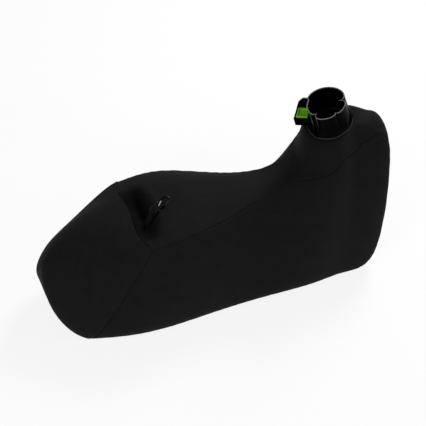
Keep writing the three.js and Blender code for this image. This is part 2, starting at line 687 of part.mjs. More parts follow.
function latchHousing() {
  const envelope = solid(tubeBody(SEAT_GAP, tubeBottom - 3, tubeTop + 3));
  const block = solid(box(ROOT_X, TRAY_OUTER_X, cheekOutside, trayOutside, TRAY_BOTTOM, TRAY_TOP));
  const innerX = TRAY_OUTER_X - TRAY_WALL;
  const hollow = solid(box(ROOT_X - 1, innerX, trayFarY, trayNearY, floorTop, TRAY_TOP + 1));
  const cheekShape = new THREE.Shape([
    [ROOT_X, TRAY_BOTTOM], [TRAY_OUTER_X, TRAY_BOTTOM], ...[...CHEEK_PROFILE].reverse(),
    [ROOT_X, CHEEK_PROFILE[0][1]],
  ].map(([x, z]) => new THREE.Vector2(x, z)));
  const cheek = extruded(cheekShape, 0, CHEEK).rotateX(Math.PI / 2).translate(0, trayFarY, 0);
  const bite = PIN_BITE + PIN_CLEARANCE;
  const bore = crossRod(PIVOT_X, PIVOT_Z, trayFarY - bite, trayNearY + bite, PIN_RADIUS + PIN_CLEARANCE);
  return geometryOf(block.add(solid(cheek)).subtract(hollow).subtract(solid(bore)).subtract(envelope));
}

function latchButton() {
  const half = BUTTON_WIDTH / 2;
  const head = solid(box(BUTTON_INNER_X, BUTTON_OUTER_X, -half, half, BUTTON_BOTTOM, BUTTON_TOP));
  const [legStart, legEnd] = [PIVOT_X - LEG_HALF, PIVOT_X + LEG_HALF];
  const leg = solid(box(legStart, legEnd, -half, half, LEG_BOTTOM, BUTTON_BOTTOM + 1));
  const pawl = solid(box(BUTTON_INNER_X - PAWL_REACH, BUTTON_INNER_X + 1, -PAWL_HALF_WIDTH, PAWL_HALF_WIDTH,
    PAWL_BOTTOM, PAWL_TOP));
  const dimple = solid(box(BUTTON_INNER_X + DIMPLE_RIM, BUTTON_OUTER_X - DIMPLE_RIM, -half + DIMPLE_RIM,
    half - DIMPLE_RIM, BUTTON_TOP - DIMPLE_DEPTH, BUTTON_TOP + 1));
  const bore = solid(crossRod(PIVOT_X, PIVOT_Z, -half - 1, half + 1, PIN_RADIUS + PIN_CLEARANCE));
  return geometryOf(head.add(leg).add(pawl).subtract(dimple).subtract(bore));
}

function latchSpring() {
  const bottom = floorTop + SEAT_GAP + SPRING_WIRE / 2;
  const top = BUTTON_BOTTOM - SEAT_GAP - SPRING_WIRE / 2;
  const points = [];
  const steps = SPRING_TURNS * SPRING_SIDES;
  for (let k = 0; k <= steps; k++) {
    const turn = 2 * Math.PI * k / SPRING_SIDES;
    const point = new THREE.Vector3(SPRING_RADIUS * Math.cos(turn), SPRING_RADIUS * Math.sin(turn));
    points.push(point.add(new THREE.Vector3(SPRING_X, 0, lerp(bottom, top, k / steps))));
  }
  const path = new THREE.CatmullRomCurve3(points);
  const wire = new THREE.Shape().absarc(0, 0, SPRING_WIRE / 2, 0, 2 * Math.PI);
  const sweep = { steps, bevelEnabled: false, extrudePath: path, curveSegments: 3 };
  return new THREE.ExtrudeGeometry(wire, sweep);
}

// ---------------------------------------------------------------- the snap hook and its tab
const tab = new THREE.Group();
tab.position.copy(HOOK_PIVOT);
const hook = new THREE.Group();
hook.rotation.y = -HOOK_RAISE;
tab.add(hook);
model.add(tab);

const slotEnd = HOOK_BAR / 2 + HOOK_SLOT;
const ringRoot = slotEnd + HOOK_NECK;
const ringMiddle = ringRoot + HOOK_RING_LENGTH / 2;
const ringHalfWidth = HOOK_WIDTH / 2;
const holeHalfLength = HOOK_RING_LENGTH / 2 - HOOK_RING_WALL_END;
const holeHalfWidth = ringHalfWidth - HOOK_RING_WALL_SIDE;
const gatePinX = ringRoot + GATE_START;
const gatePinShare = (gatePinX - ringMiddle) / ((HOOK_RING_LENGTH - HOOK_RING_WALL_END) / 2);
const gatePinY = (ringHalfWidth - HOOK_RING_WALL_SIDE / 2) * Math.sqrt(1 - gatePinShare ** 2);
const gateEndX = gatePinX + GATE_LENGTH;

function oval(halfLength, halfWidth) {
  return new THREE.Shape().absellipse(ringMiddle, 0, halfLength, halfWidth, 0, 2 * Math.PI);
}

function ovalRing() {
  const shape = oval(HOOK_RING_LENGTH / 2, ringHalfWidth);
  shape.holes.push(oval(holeHalfLength, holeHalfWidth));
  return shape;
}

const gateSpan = (grow) => box(gatePinX, gateEndX + grow, 0, HOOK_WIDTH, -HOOK_THICKNESS, HOOK_THICKNESS);

function hookBody() {
  const half = HOOK_THICKNESS / 2;
  const frameEnd = ringRoot + HOOK_FRAME_REACH;
  const endHalf = ringHalfWidth - HOOK_FRAME_TAPER;
  const frame = new THREE.Shape([
    [-HOOK_BAR / 2, -ringHalfWidth], [frameEnd, -endHalf],
    [frameEnd, endHalf], [-HOOK_BAR / 2, ringHalfWidth],
  ].map(([x, y]) => new THREE.Vector2(x, y)));
  const rail = ringHalfWidth - HOOK_RAIL;
  const slot = solid(box(HOOK_BAR / 2, slotEnd, -rail, rail, -HOOK_THICKNESS, HOOK_THICKNESS));
  const hole = oval(holeHalfLength, holeHalfWidth);
  const eyeRoom = GATE_EYE_RADIUS + GATE_CLEARANCE;
  const slit = GATE_THICKNESS / 2 + GATE_CLEARANCE;
  const ears = solid(rod(gatePinX, gatePinY, -half, half, GATE_EYE_RADIUS, 20));
  const eyePocket = solid(rod(gatePinX, gatePinY, -slit, slit, eyeRoom, 20));
  const pinBore = solid(rod(gatePinX, gatePinY, -half - 1, half + 1, GATE_PIN_RADIUS + PIN_CLEARANCE, 12));
  const plate = solid(extruded(frame, -half, half)).add(solid(extruded(ovalRing(), -half, half, 20)));
  return geometryOf(plate.subtract(solid(extruded(hole, -half - 1, half + 1, 20))).subtract(slot)
    .subtract(solid(gateSpan(GATE_TIP_CLEARANCE))).add(ears).subtract(eyePocket).subtract(pinBore));
}

function hookGate() {
  const half = GATE_THICKNESS / 2;
  const strip = solid(extruded(ovalRing(), -half, half, 20)).intersect(solid(gateSpan(0)));
  const eye = solid(rod(gatePinX, gatePinY, -half, half, GATE_EYE_RADIUS, 20));
  const bore = solid(rod(gatePinX, gatePinY, -half - 1, half + 1, GATE_PIN_RADIUS + PIN_CLEARANCE, 12));
  return geometryOf(strip.add(eye).subtract(bore));
}

function gateSpring() {
  const start = new THREE.Vector2(ringMiddle - holeHalfLength + LEAF_ROOT[0], LEAF_ROOT[1]);
  const reachX = gatePinX + LEAF_REACH * GATE_LENGTH;
  const share = Math.sqrt(1 - ((reachX - ringMiddle) / holeHalfLength) ** 2);
  const end = new THREE.Vector2(reachX, holeHalfWidth * share - SEAT_GAP - LEAF_THICKNESS);
  const length = start.distanceTo(end);
  const strip = box(0, length, -LEAF_THICKNESS / 2, LEAF_THICKNESS / 2, -LEAF_WIDTH / 2, LEAF_WIDTH / 2);
  return strip.rotateZ(end.clone().sub(start).angle()).translate(start.x, start.y, 0);
}

// A loop of webbing round the hook's bar, with both ends together down to the nose seam.
function webbingTab() {
  const half = WEBBING_WIDTH / 2;
  const outer = WEBBING_BORE + WEBBING;
  const tailLength = WEBBING_FOOT.length() + WEBBING_TAIL;
  const fall = Math.atan2(-WEBBING_FOOT.y, WEBBING_FOOT.x);
  const tail = box(0, tailLength, -half, half, -WEBBING, WEBBING).rotateY(fall);
  const loop = solid(crossRod(0, 0, -half, half, outer, 24)).add(solid(tail));
  const shaped = loop.subtract(solid(crossRod(0, 0, -half - 1, half + 1, WEBBING_BORE, 24)));
  const groove = grooveCutter().translate(-HOOK_PIVOT.x, -HOOK_PIVOT.y, -HOOK_PIVOT.z);
  return geometryOf(shaped.subtract(solid(groove)));
}

// Everything below the groove's fabric, and the seat gap above it.
function grooveCutter() {
  const rows = [...NOSE_ROWS.slice(-7, -1), ...GROOVE_ROWS];
  const columns = mirrored(GUSSET_COLUMNS.slice(0, -1));
  const points = rows.map((row) => columns.map((column) => skin(row, column)));
  const up = rows.map(() => columns.map(() => new THREE.Vector3(0, 0, 1)));
  return shell(points, up, 2 * SEAT_GAP, -GROOVE_CUT);
}

// ---------------------------------------------------------------- the zip
// Its own frame: X out of the rear face, Z up along it, the middle where the rear closes.
const zip = new THREE.Group();
zip.position.copy(capCentre(LAST)).add(new THREE.Vector3(REAR.depth * REAR.flat, 0, 0));
zip.rotation.y = rearLean;
model.add(zip);

const zipTop = ZIP_LENGTH / 2;
const tapeOuterX = -FABRIC - SEAT_GAP;
const tapeInnerX = tapeOuterX - TAPE;
const toothBottomX = tapeOuterX + SEAT_GAP;
const toothTopX = toothBottomX + TOOTH_HEIGHT;
const stopTopX = toothTopX + STOP_PROUD;
const zipMatrix = new THREE.Matrix4().makeBasis(
  new THREE.Vector3(0, 1, 0), new THREE.Vector3(0, 0, 1), new THREE.Vector3(1, 0, 0),
);

function sideBox(side, x0, x1, innerY, outerY, z0, z1) {
  const middle = side * (innerY + outerY) / 2;
  const half = (outerY - innerY) / 2;
  return box(x0, x1, middle - half, middle + half, z0, z1);
}

function zipTape(side) {
  return sideBox(side, tapeInnerX, tapeOuterX, TAPE_INNER_Y, TAPE_OUTER_Y, -zipTop, zipTop);
}

// A spine with teeth towards the middle; those of one side stand between those of the other.
function zipTeeth(side) {
  const bottom = -zipTop + STOP_LENGTH + 1;
  const count = Math.floor((ZIP_LENGTH - 2 * STOP_LENGTH - 2) / TOOTH_PITCH);
  const start = bottom + (side > 0 ? TOOTH_PITCH / 2 : 0);
  const outline = [[TOOTH_OUTER_Y, start], [TOOTH_OUTER_Y, start + (count - 0.5) * TOOTH_PITCH]];
  for (let k = count - 1; k >= 0; k--) {
    const z = start + k * TOOTH_PITCH;
    outline.push([TOOTH_INNER_Y, z + TOOTH_PITCH / 2], [TOOTH_INNER_Y, z]);
    if (k > 0) outline.push([TOOTH_ROOT_Y, z], [TOOTH_ROOT_Y, z - TOOTH_PITCH / 2]);
  }
  const shape = new THREE.Shape(outline.map(([y, z]) => new THREE.Vector2(side * y, z)));
  return extruded(shape, toothBottomX, toothTopX).applyMatrix4(zipMatrix);
}

function topStop(side) {
  const bottom = zipTop - STOP_LENGTH;
  return sideBox(side, toothBottomX, stopTopX, TOOTH_INNER_Y, TOOTH_OUTER_Y, bottom, zipTop);
}

function bottomStop() {
  return box(toothBottomX, stopTopX, -TOOTH_OUTER_Y, TOOTH_OUTER_Y, -zipTop, STOP_LENGTH - zipTop);
}

const sliderMiddle = zipTop - STOP_LENGTH - RUNNING_GAP - SLIDER_LENGTH / 2;
const plateBottomX = toothTopX + RUNNING_GAP;
const plateTopX = plateBottomX + SLIDER_PLATE;
const pullBarX = plateTopX + (BAIL_HEIGHT - BAIL_WALL) / 2;

function zipSlider() {
  const bar = (x0, x1, halfWidth, z0, z1) => solid(box(x0, x1, -halfWidth, halfWidth, z0, z1));
  const half = SLIDER_LENGTH / 2;
  const innerTop = tapeInnerX - RUNNING_GAP;
  const outer = bar(plateBottomX, plateTopX, SLIDER_HALF_WIDTH, -half, half);
  const inner = bar(innerTop - SLIDER_PLATE, innerTop, SLIDER_HALF_WIDTH, -half, half);
  const post = bar(innerTop - 1, plateBottomX + 1, SLIDER_POST_HALF, SLIDER_POST_START - half, half);
  const archTop = plateTopX + BAIL_HEIGHT;
  const arch = bar(plateTopX - 1, archTop, BAIL_HALF_WIDTH, -BAIL_HALF_LENGTH, BAIL_HALF_LENGTH);
  const eyeHalf = BAIL_HALF_LENGTH - BAIL_WALL;
  const eye = bar(plateTopX, archTop - BAIL_WALL, BAIL_HALF_WIDTH + 1, -eyeHalf, eyeHalf);
  return geometryOf(outer.add(inner).add(post).add(arch.subtract(eye)));
}

// Hangs plumb from its bar in the bail: a frame round the bail, then a solid grip.
function zipPull() {
  const room = Math.hypot(BAIL_HALF_LENGTH, BAIL_HEIGHT - BAIL_WALL / 2) + RUNNING_GAP;
  const tipHalf = PULL_HALF_WIDTH - PULL_CORNER;
  const cornerZ = PULL_CORNER - PULL_LENGTH;
  const outline = new THREE.Shape([
    [-PULL_HALF_WIDTH, PULL_BAR], [-PULL_HALF_WIDTH, cornerZ], [-tipHalf, -PULL_LENGTH],
    [tipHalf, -PULL_LENGTH], [PULL_HALF_WIDTH, cornerZ], [PULL_HALF_WIDTH, PULL_BAR],
  ].map(([y, z]) => new THREE.Vector2(y, z)));
  const gap = BAIL_HALF_WIDTH + RUNNING_GAP;
  outline.holes.push(new THREE.Path([[-gap, -PULL_BAR], [gap, -PULL_BAR], [gap, -room - PULL_BAR],
    [-gap, -room - PULL_BAR]].map(([y, z]) => new THREE.Vector2(y, z))));
  return extruded(outline, -PULL_THICKNESS / 2, PULL_THICKNESS / 2).applyMatrix4(zipMatrix);
}

// ---------------------------------------------------------------- assembly
addMesh('nose_panel', nosePanel(), fabricFinish);
addMesh('top_panel', topPanel(), fabricFinish);
addMesh('side_panel_left', sidePanel(-1), fabricFinish);
addMesh('side_panel_right', sidePanel(1), fabricFinish);
addMesh('base_panel', basePanel(), fabricFinish);
addMesh('rear_panel_left', rearPanel(-1), fabricFinish);
addMesh('rear_panel_right', rearPanel(1), fabricFinish);

const gasketTop = gasketBottom + GASKET_THICKNESS;
addMesh('collar_gasket', flange(BORE_RADIUS, CLAMP_RADIUS, gasketBottom, gasketTop), rubberFinish, turned);
addMesh('collar_tube', collarTube(), glossFinish, turned);
addMesh('clamp_ring', flange(BORE_RADIUS, CLAMP_RADIUS, clampBottom, clampTop), plasticFinish, turned);
for (let k = 0; k < SCREW_COUNT; k++) {
  const screw = addMesh(`clamp_screw_${k + 1}`, clampScrew(), steelFinish, turned);
  screw.position.set(...screwPlace(k), 0);
}
addMesh('latch_housing', latchHousing(), glossFinish, turned);
addMesh('latch_button', latchButton(), limeFinish, turned);
const pinFrom = trayFarY - PIN_BITE;
const pinTo = trayNearY + PIN_BITE;
addMesh('latch_pin', crossRod(PIVOT_X, PIVOT_Z, pinFrom, pinTo, PIN_RADIUS), steelFinish, turned);
addMesh('latch_spring', latchSpring(), steelFinish, turned);

addMesh('hook_webbing', webbingTab(), webbingFinish, tab);
addMesh('hook_body', hookBody(), glossFinish, hook);
addMesh('hook_gate', hookGate(), glossFinish, hook);
const gatePin = rod(gatePinX, gatePinY, -HOOK_THICKNESS / 2, HOOK_THICKNESS / 2, GATE_PIN_RADIUS, 10);
addMesh('hook_gate_pin', gatePin, steelFinish, hook);
addMesh('hook_gate_spring', gateSpring(), steelFinish, hook);

addMesh('zip_tape_left', zipTape(-1), webbingFinish, zip);
addMesh('zip_tape_right', zipTape(1), webbingFinish, zip);
addMesh('zip_teeth_left', zipTeeth(-1), plasticFinish, zip);
addMesh('zip_teeth_right', zipTeeth(1), plasticFinish, zip);
addMesh('zip_top_stop_left', topStop(-1), zincFinish, zip);
addMesh('zip_top_stop_right', topStop(1), zincFinish, zip);
addMesh('zip_bottom_stop', bottomStop(), zincFinish, zip);
const slider = addMesh('zip_slider', zipSlider(), zincFinish, zip);
slider.position.z = sliderMiddle;
const pull = addMesh('zip_pull', zipPull(), zincFinish, zip);
pull.position.set(pullBarX, 0, sliderMiddle);
pull.rotation.y = -rearLean;

export default model;
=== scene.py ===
import math

import bmesh
import bpy
import numpy as np
from mathutils import Matrix, Vector, noise


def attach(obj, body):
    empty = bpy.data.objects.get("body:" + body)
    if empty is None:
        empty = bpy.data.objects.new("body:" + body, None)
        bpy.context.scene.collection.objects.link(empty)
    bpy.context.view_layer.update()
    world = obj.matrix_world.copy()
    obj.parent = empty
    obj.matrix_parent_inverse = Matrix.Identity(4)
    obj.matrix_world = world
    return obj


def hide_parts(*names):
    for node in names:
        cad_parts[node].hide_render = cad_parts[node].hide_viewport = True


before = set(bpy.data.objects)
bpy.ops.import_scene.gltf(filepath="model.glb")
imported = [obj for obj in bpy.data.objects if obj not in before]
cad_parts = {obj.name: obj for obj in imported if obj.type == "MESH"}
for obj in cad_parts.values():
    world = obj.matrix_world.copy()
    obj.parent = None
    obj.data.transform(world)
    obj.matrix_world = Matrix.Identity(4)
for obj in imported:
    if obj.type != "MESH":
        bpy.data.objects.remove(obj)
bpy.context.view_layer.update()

# ------------------------------------------------------------------ camera and studio
# The bag stands on a pale sweep under soft lamps and is seen from its front left corner,
# well above it, through a long lens.
LOOK_AT = Vector((-0.0059, 0.0341, 0.1948))
CAMERA_TURN = math.radians(19.31)
CAMERA_RISE = math.radians(43.11)
CAMERA_DISTANCE = 8.333
VIEW_WIDTH = 1.065
SENSOR_WIDTH = 36
SIGHT_LIMIT = 50

towards_camera = Vector((
    -math.sin(CAMERA_TURN) * math.cos(CAMERA_RISE),
    -math.cos(CAMERA_TURN) * math.cos(CAMERA_RISE),
    math.sin(CAMERA_RISE),
))
camera = bpy.data.objects.new("camera", bpy.data.cameras.new("camera"))
camera.data.sensor_width = SENSOR_WIDTH
camera.data.lens = SENSOR_WIDTH * CAMERA_DISTANCE / VIEW_WIDTH
camera.data.clip_end = SIGHT_LIMIT
camera.location = LOOK_AT + towards_camera * CAMERA_DISTANCE
camera.rotation_euler = towards_camera.to_track_quat("Z", "Y").to_euler()
bpy.context.scene.collection.objects.link(camera)
bpy.context.scene.camera = camera
bpy.context.scene.view_settings.view_transform = "Standard"


class Socket:
    """One output of a shader node, so that shader maths reads as a plain expression."""

    def __init__(self, finish, output):
        self.finish = finish
        self.output = output

    def maths(self, operation, *values):
        return self.finish.node("ShaderNodeMath", {"operation": operation}, values)

    def __add__(self, other):
        return self.maths("ADD", self, other)

    def __radd__(self, other):
        return self.maths("ADD", other, self)

    def __sub__(self, other):
        return self.maths("SUBTRACT", self, other)

    def __rsub__(self, other):
        return self.maths("SUBTRACT", other, self)

    def __mul__(self, other):
        return self.maths("MULTIPLY", self, other)

    def __rmul__(self, other):
        return self.maths("MULTIPLY", other, self)

    def waves(self, pitch):
        """A sine along this length, which comes round again after each pitch."""
        return self.maths("SINE", self * (2 * math.pi / pitch))

    def rise(self, low, high):
        """0 below low, 1 above high and a smooth rise between them."""
        return self.finish.node("ShaderNodeMapRange", {"interpolation_type": "SMOOTHSTEP"}, {
            "Value": self, "From Min": low, "From Max": high})

    def beside(self, name):
        """Another output of the same node."""
        return Socket(self.finish, self.output.node.outputs[name])

    def parts(self):
        """The three parts of a place, each as a socket."""
        first = self.finish.node("ShaderNodeSeparateXYZ", inputs=[self])
        return first, first.beside("Y"), first.beside("Z")


class Finish:
    """A material and the nodes that make it."""

    def __init__(self, name, **surface):
        self.material = bpy.data.materials.new(name)
        self.material.use_nodes = True
        self.tree = self.material.node_tree
        self.shader = self.tree.nodes["Principled BSDF"]
        for setting, value in surface.items():
            self.set(setting.replace("_", " ").title().replace("Ior", "IOR"), value)

    def set(self, name, value):
        if isinstance(value, Socket):
            self.tree.links.new(value.output, self.shader.inputs[name])
        else:
            self.shader.inputs[name].default_value = value

    def node(self, kind, settings=None, inputs=(), output=0):
        made = self.tree.nodes.new(kind)
        for name, value in (settings or {}).items():
            if name == "stops":
                for stop, (place, level) in zip(made.color_ramp.elements, value):
                    stop.position = place
                    stop.color = (level, level, level, 1)
            else:
                setattr(made, name, value)
        pairs = inputs.items() if isinstance(inputs, dict) else enumerate(inputs)
        for name, value in pairs:
            if isinstance(value, Socket):
                self.tree.links.new(value.output, made.inputs[name])
            else:
                made.inputs[name].default_value = value
        return Socket(self, made.outputs[output])

    def grain(self, scale, detail):
        return self.node("ShaderNodeTexNoise", inputs={"Scale": scale, "Detail": detail})

    def blend(self, share, start, end):
        """A colour from start at share 0 to end at share 1."""
        return self.node("ShaderNodeMix", {"data_type": "RGBA"}, {0: share, 6: start, 7: end}, output=2)

    def roughen(self, grain, least, spread):
        """Roughness that goes up from least by spread, as the grain goes from 0 to 1."""
        self.set("Roughness", grain * spread + least)

    def bump(self, height, strength, distance):
        self.set("Normal", self.node("ShaderNodeBump", inputs={
            "Strength": strength, "Distance": distance, "Height": height}))


def mesh_object(name, points, faces):
    data = bpy.data.meshes.new(name)
    data.from_pydata([tuple(p) for p in points], [], faces)
    data.update()
    data.shade_smooth()
    made = bpy.data.objects.new(name, data)
    bpy.context.scene.collection.objects.link(made)
    return made


WHITE = (1, 1, 1, 1)
SWEEP_HALF = 7
SWEEP_DROP = 0.0006
SWEEP_COLOR = (0.86, 0.86, 0.86, 1)
SWEEP_SELF_WHITE = 0.85
sweep_finish = Finish("pale_sweep", base_color=SWEEP_COLOR, roughness=0.9)
seen = sweep_finish.node("ShaderNodeLightPath", output="Is Camera Ray")
mirrored = seen.beside("Is Glossy Ray")
plain_white = sweep_finish.node("ShaderNodeEmission", inputs={"Color": WHITE, "Strength": 1})
lit = Socket(sweep_finish, sweep_finish.shader.outputs["BSDF"])
self_white = (seen + mirrored) * SWEEP_SELF_WHITE
shown = sweep_finish.node("ShaderNodeMixShader", inputs=[self_white, lit, plain_white])
surface = sweep_finish.tree.nodes["Material Output"].inputs["Surface"]
sweep_finish.tree.links.new(shown.output, surface)
sweep = mesh_object("sweep", [
    (x * SWEEP_HALF, y * SWEEP_HALF, -SWEEP_DROP) for x, y in ((-1, -1), (1, -1), (1, 1), (-1, 1))
], [(0, 1, 2, 3)])
sweep.data.materials.append(sweep_finish.material)

WORLD_LEVEL = 0.28
world = bpy.data.worlds.new("studio")
world.use_nodes = True
bpy.context.scene.world = world
backdrop = world.node_tree.nodes["Background"]
backdrop.inputs["Color"].default_value = WHITE
backdrop.inputs["Strength"].default_value = WORLD_LEVEL

LAMP_AIM = Vector((0, 0, 0.2))
LAMPS = [
    ("rear_key", (1.5, 1.1, 2.3), (0.9, 0.9), 62),
    ("front_fill", (-2.6, -2.4, 1.9), (1.4, 1.4), 60),
    ("strip", (1.9, -1.9, 1.6), (0.12, 1.2), 14),
]
for name, place, size, watts in LAMPS:
    lamp = bpy.data.objects.new(name, bpy.data.lights.new(name, "AREA"))
    lamp.data.shape = "RECTANGLE"
    lamp.data.size, lamp.data.size_y = size
    lamp.data.energy = watts
    lamp.location = place
    lamp.rotation_euler = (Vector(place) - LAMP_AIM).to_track_quat("Z", "Y").to_euler()
    bpy.context.scene.collection.objects.link(lamp)

# ------------------------------------------------------------------ the sack's cut
# Woven polyester, coated inside, cut and sewn to six cross-sections from the nose seam to the
# rear: a domed gusset on top, two sides that swell and tuck under, and a flat floor.
SACK_HEIGHT, SACK_HALF_WIDTH = 0.434, 0.180
FLOOR_FRONT_X, FLOOR_REAR_X = -0.378, 0.303
RIDGE_FRONT_X, RIDGE_REAR_X = -0.204, 0.358
RIDGE_HEIGHT = SACK_HEIGHT * np.array([0.716, 0.757, 0.711, 0.731, 0.976, 1.008])
GUSSET_CROWN = SACK_HEIGHT * np.array([0.067, 0.086, 0.051, 0.009, 0.126, 0.064])
GUSSET_HALF_WIDTH = SACK_HALF_WIDTH * np.array([0.745, 0.701, 0.4, 0.26, 0.535, 0.253])
SIDE_HALF_WIDTH = SACK_HALF_WIDTH * np.array([0.81, 1, 0.927, 0.839, 0.803, 0.717])
FLOOR_X = FLOOR_FRONT_X + (FLOOR_REAR_X - FLOOR_FRONT_X) * np.array([0, 0.2, 0.43, 0.66, 0.86, 1])
RIDGE_X = RIDGE_FRONT_X + (RIDGE_REAR_X - RIDGE_FRONT_X) * np.array([0, 0.2, 0.45, 0.68, 0.86, 1])
LAST = len(RIDGE_HEIGHT) - 1
SHOULDER, SHOULDER_DROP, TUCK = 0.637, 0.219, 0.642
CROWN_POWER, DOME_POWER, DOME_START, DOME_FULL = 2, 2.49, 3, 4
NOSE = {"depth": 0.168, "power": 1.583, "lift": 0.287, "flat": 1, "slit": 0}
REAR = {"depth": 0.093, "power": 3.67, "lift": 0, "flat": 0.95, "slit": 0.040}
REAR_FLAT_MARGIN = 0.012
REAR_FLAT = LAST + math.asin(REAR["flat"] ** (REAR["power"] / 2)) * 2 / math.pi + REAR_FLAT_MARGIN
NOSE_FADE, NOSE_TOP_FULLNESS, NOSE_SIDE_FULLNESS = 0.5, 1.177, 1.25
END_CENTRE = 0.493
VALLEY_DEPTH, VALLEY_BACK_WIDTH, VALLEY_LAST_SECTION = 0.038, 0.034, 2
VALLEY_FADE, VALLEY_RIGHT_START, VALLEY_RIGHT_END = 2.5, 0.2, 0.75
LIP_REACH, LIP_LEAST_SHARE, LIP_STEEPNESS = 0.032, 0.05, 3
SEAM_BOW, BOW_REACH, BOW_POWER = 0.165, 1, 4
SEAM_DIP, DIP_START, DIP_DEEP, DIP_RISE, DIP_END = 0.08, 4.1, 4.85, 4.84, 5.18
SEAT = np.array([RIDGE_REAR_X - 0.069, 0, SACK_HEIGHT + 0.004])
SEAT_TILT = math.radians(14)
SEAT_NORMAL = np.array([-math.sin(SEAT_TILT), 0, math.cos(SEAT_TILT)])
SEAT_FLAT_RADIUS, SEAT_BLEND_RADIUS, SEAT_BLEND_DEPTH, SEAT_FLAT_GIRTH = 0.060, 0.110, 0.11, 0.8
SAME_PLACE, NO_LENGTH = 1e-6, 1e-12


def spline(values, level_end):
    """A cubic spline through values at 0, 1, 2 and so on, without bend at its start. At its end
    it either levels out, to run on into the rounded rear, or is without bend too."""
    n = len(values)
    rows = np.diag(np.full(n, 4.0)) + np.diag(np.ones(n - 1), 1) + np.diag(np.ones(n - 1), -1)
    rows[0], rows[-1] = np.eye(n)[0], np.eye(n)[-1]
    turns = np.zeros(n)
    turns[1:-1] = 6 * (values[2:] - 2 * values[1:-1] + values[:-2])
    if level_end:
        rows[-1, -2:] = 1, 2
        turns[-1] = -6 * (values[-1] - values[-2])
    bend = np.linalg.solve(rows, turns)

    def at(s):
        i = np.clip(np.floor(s).astype(int), 0, n - 2)
        t = s - i
        r = 1 - t
        return r * values[i] + t * values[i + 1] + ((r**3 - r) * bend[i] + (t**3 - t) * bend[i + 1]) / 6

    return at


ridge_height, gusset_crown = spline(RIDGE_HEIGHT, True), spline(GUSSET_CROWN, True)
gusset_half, side_half = spline(GUSSET_HALF_WIDTH, True), spline(SIDE_HALF_WIDTH, True)
floor_x, ridge_x = spline(FLOOR_X, False), spline(RIDGE_X, False)


def smoothstep(value, low, high):
    t = np.clip((value - low) / (high - low), 0, 1)
    return t * t * (3 - 2 * t)


def half_girth(girth):
    """How far round from the ridge a girth lies, 0 to 3, and its side: -1 left, 1 right."""
    beyond = np.abs(girth) > 3
    half = np.where(beyond, 6 - np.abs(girth), np.abs(girth))
    return half, np.where(girth < 0, -1.0, 1.0) * np.where(beyond, -1.0, 1.0)


def section(s, girth):
    """A point of the sewn cross-section at s. Girth 0 is the ridge, 1 the gusset seam, 2 the
    floor seam and 3 the middle of the floor; a negative girth is on the left."""
    half, sign = half_girth(girth)
    top, gusset, side, crown = ridge_height(s), gusset_half(s), side_half(s), gusset_crown(s)
    t = np.clip(half - 1, 0, 1)
    r = 1 - t
    shoulder = gusset + SHOULDER * (side - gusset)
    y_side = r**3 * gusset + 3 * r * r * t * shoulder + 3 * r * t * t * side + t**3 * TUCK * side
    z_side = (r**3 + 3 * r * r * t * (1 - SHOULDER_DROP)) * (top - crown)
    y = np.where(half <= 1, gusset * half, np.where(half <= 2, y_side, TUCK * side * (3 - half)))
    power = CROWN_POWER + (DOME_POWER - CROWN_POWER) * smoothstep(s, DOME_START, DOME_FULL)
    z = np.where(half <= 1, top - crown * half**power, np.where(half <= 2, z_side, 0))
    x = floor_x(s) + (ridge_x(s) - floor_x(s)) * z / top
    return np.stack([x, sign * y, z], -1)


def even_section(s, girth):
    """The same place on a section whose top and side are one even curve, without a corner."""
    half, sign = half_girth(girth)
    t = np.clip(np.where(half <= 1, half / 3, (2 * half - 1) / 3), 0, 1)
    r = 1 - t
    swelled = 3 * r * r * t * NOSE_TOP_FULLNESS + 3 * r * t * t * NOSE_SIDE_FULLNESS + t**3 * TUCK
    share = r**3 + 3 * r * r * t
    x = floor_x(s) + (ridge_x(s) - floor_x(s)) * share
    even = np.stack([x, sign * swelled * side_half(s), share * ridge_height(s)], -1)
    return np.where((half > 2)[..., None], section(s, girth), even)


def moved_seams(along, girth):
    """Where the sewing moves a place on the sections: the gusset seams dip towards the sides
    before the rear corner, and the nose seam bows forward on the bag's top."""
    half = np.abs(girth)
    dip = SEAM_DIP * smoothstep(along, DIP_START, DIP_DEEP) * (1 - smoothstep(along, DIP_RISE, DIP_END))
    dipped = girth + np.sign(girth) * dip * np.clip(np.where(half <= 1, half, 2 - half), 0, 1)
    bow = SEAM_BOW * np.clip(1 - half**BOW_POWER, 0, 1)
    return along - bow * (1 - smoothstep(np.abs(along), 0, BOW_REACH)), dipped


def cap_shrink(turn, end):
    """How much of its section is left at a turn, 0 to 1, round an end."""
    return np.maximum(np.cos(turn * math.pi / 2), 0) ** (2 / end["power"])


def rounded_ends(point, s, along, girth):
    """Draws the first and the last section in and outwards, to a rounded nose and rear."""
    half = np.abs(girth)
    for end, turn, outward in ((NOSE, -along, -1), (REAR, along - LAST, 1)):
        turn = np.clip(turn, 0, 1)
        shrink = cap_shrink(turn, end)
        reach = end["depth"] * np.minimum(np.sin(turn * math.pi / 2) ** (2 / end["power"]), end["flat"])
        slit = np.sign(girth) * end["slit"] * np.where(half <= 1, half, np.minimum(1, 3 - half))
        x = floor_x(s) + (ridge_x(s) - floor_x(s)) * END_CENTRE
        centre = np.stack([x, slit, ridge_height(s) * END_CENTRE], -1)
        point = centre + (point - centre) * shrink[..., None]
        point[..., 0] += outward * reach
        point[..., 2] += end["lift"] * reach
    return point


def valley_depth_share(girth):
    """How deep the valley behind the nose is across the bag's top, as a share of its depth. It
    fades out towards both gusset seams, and on the right before it gets there."""
    fade = np.clip(1 - girth**2, 0, 1) ** VALLEY_FADE
    return fade * (1 - smoothstep(girth, VALLEY_RIGHT_START, VALLEY_RIGHT_END))


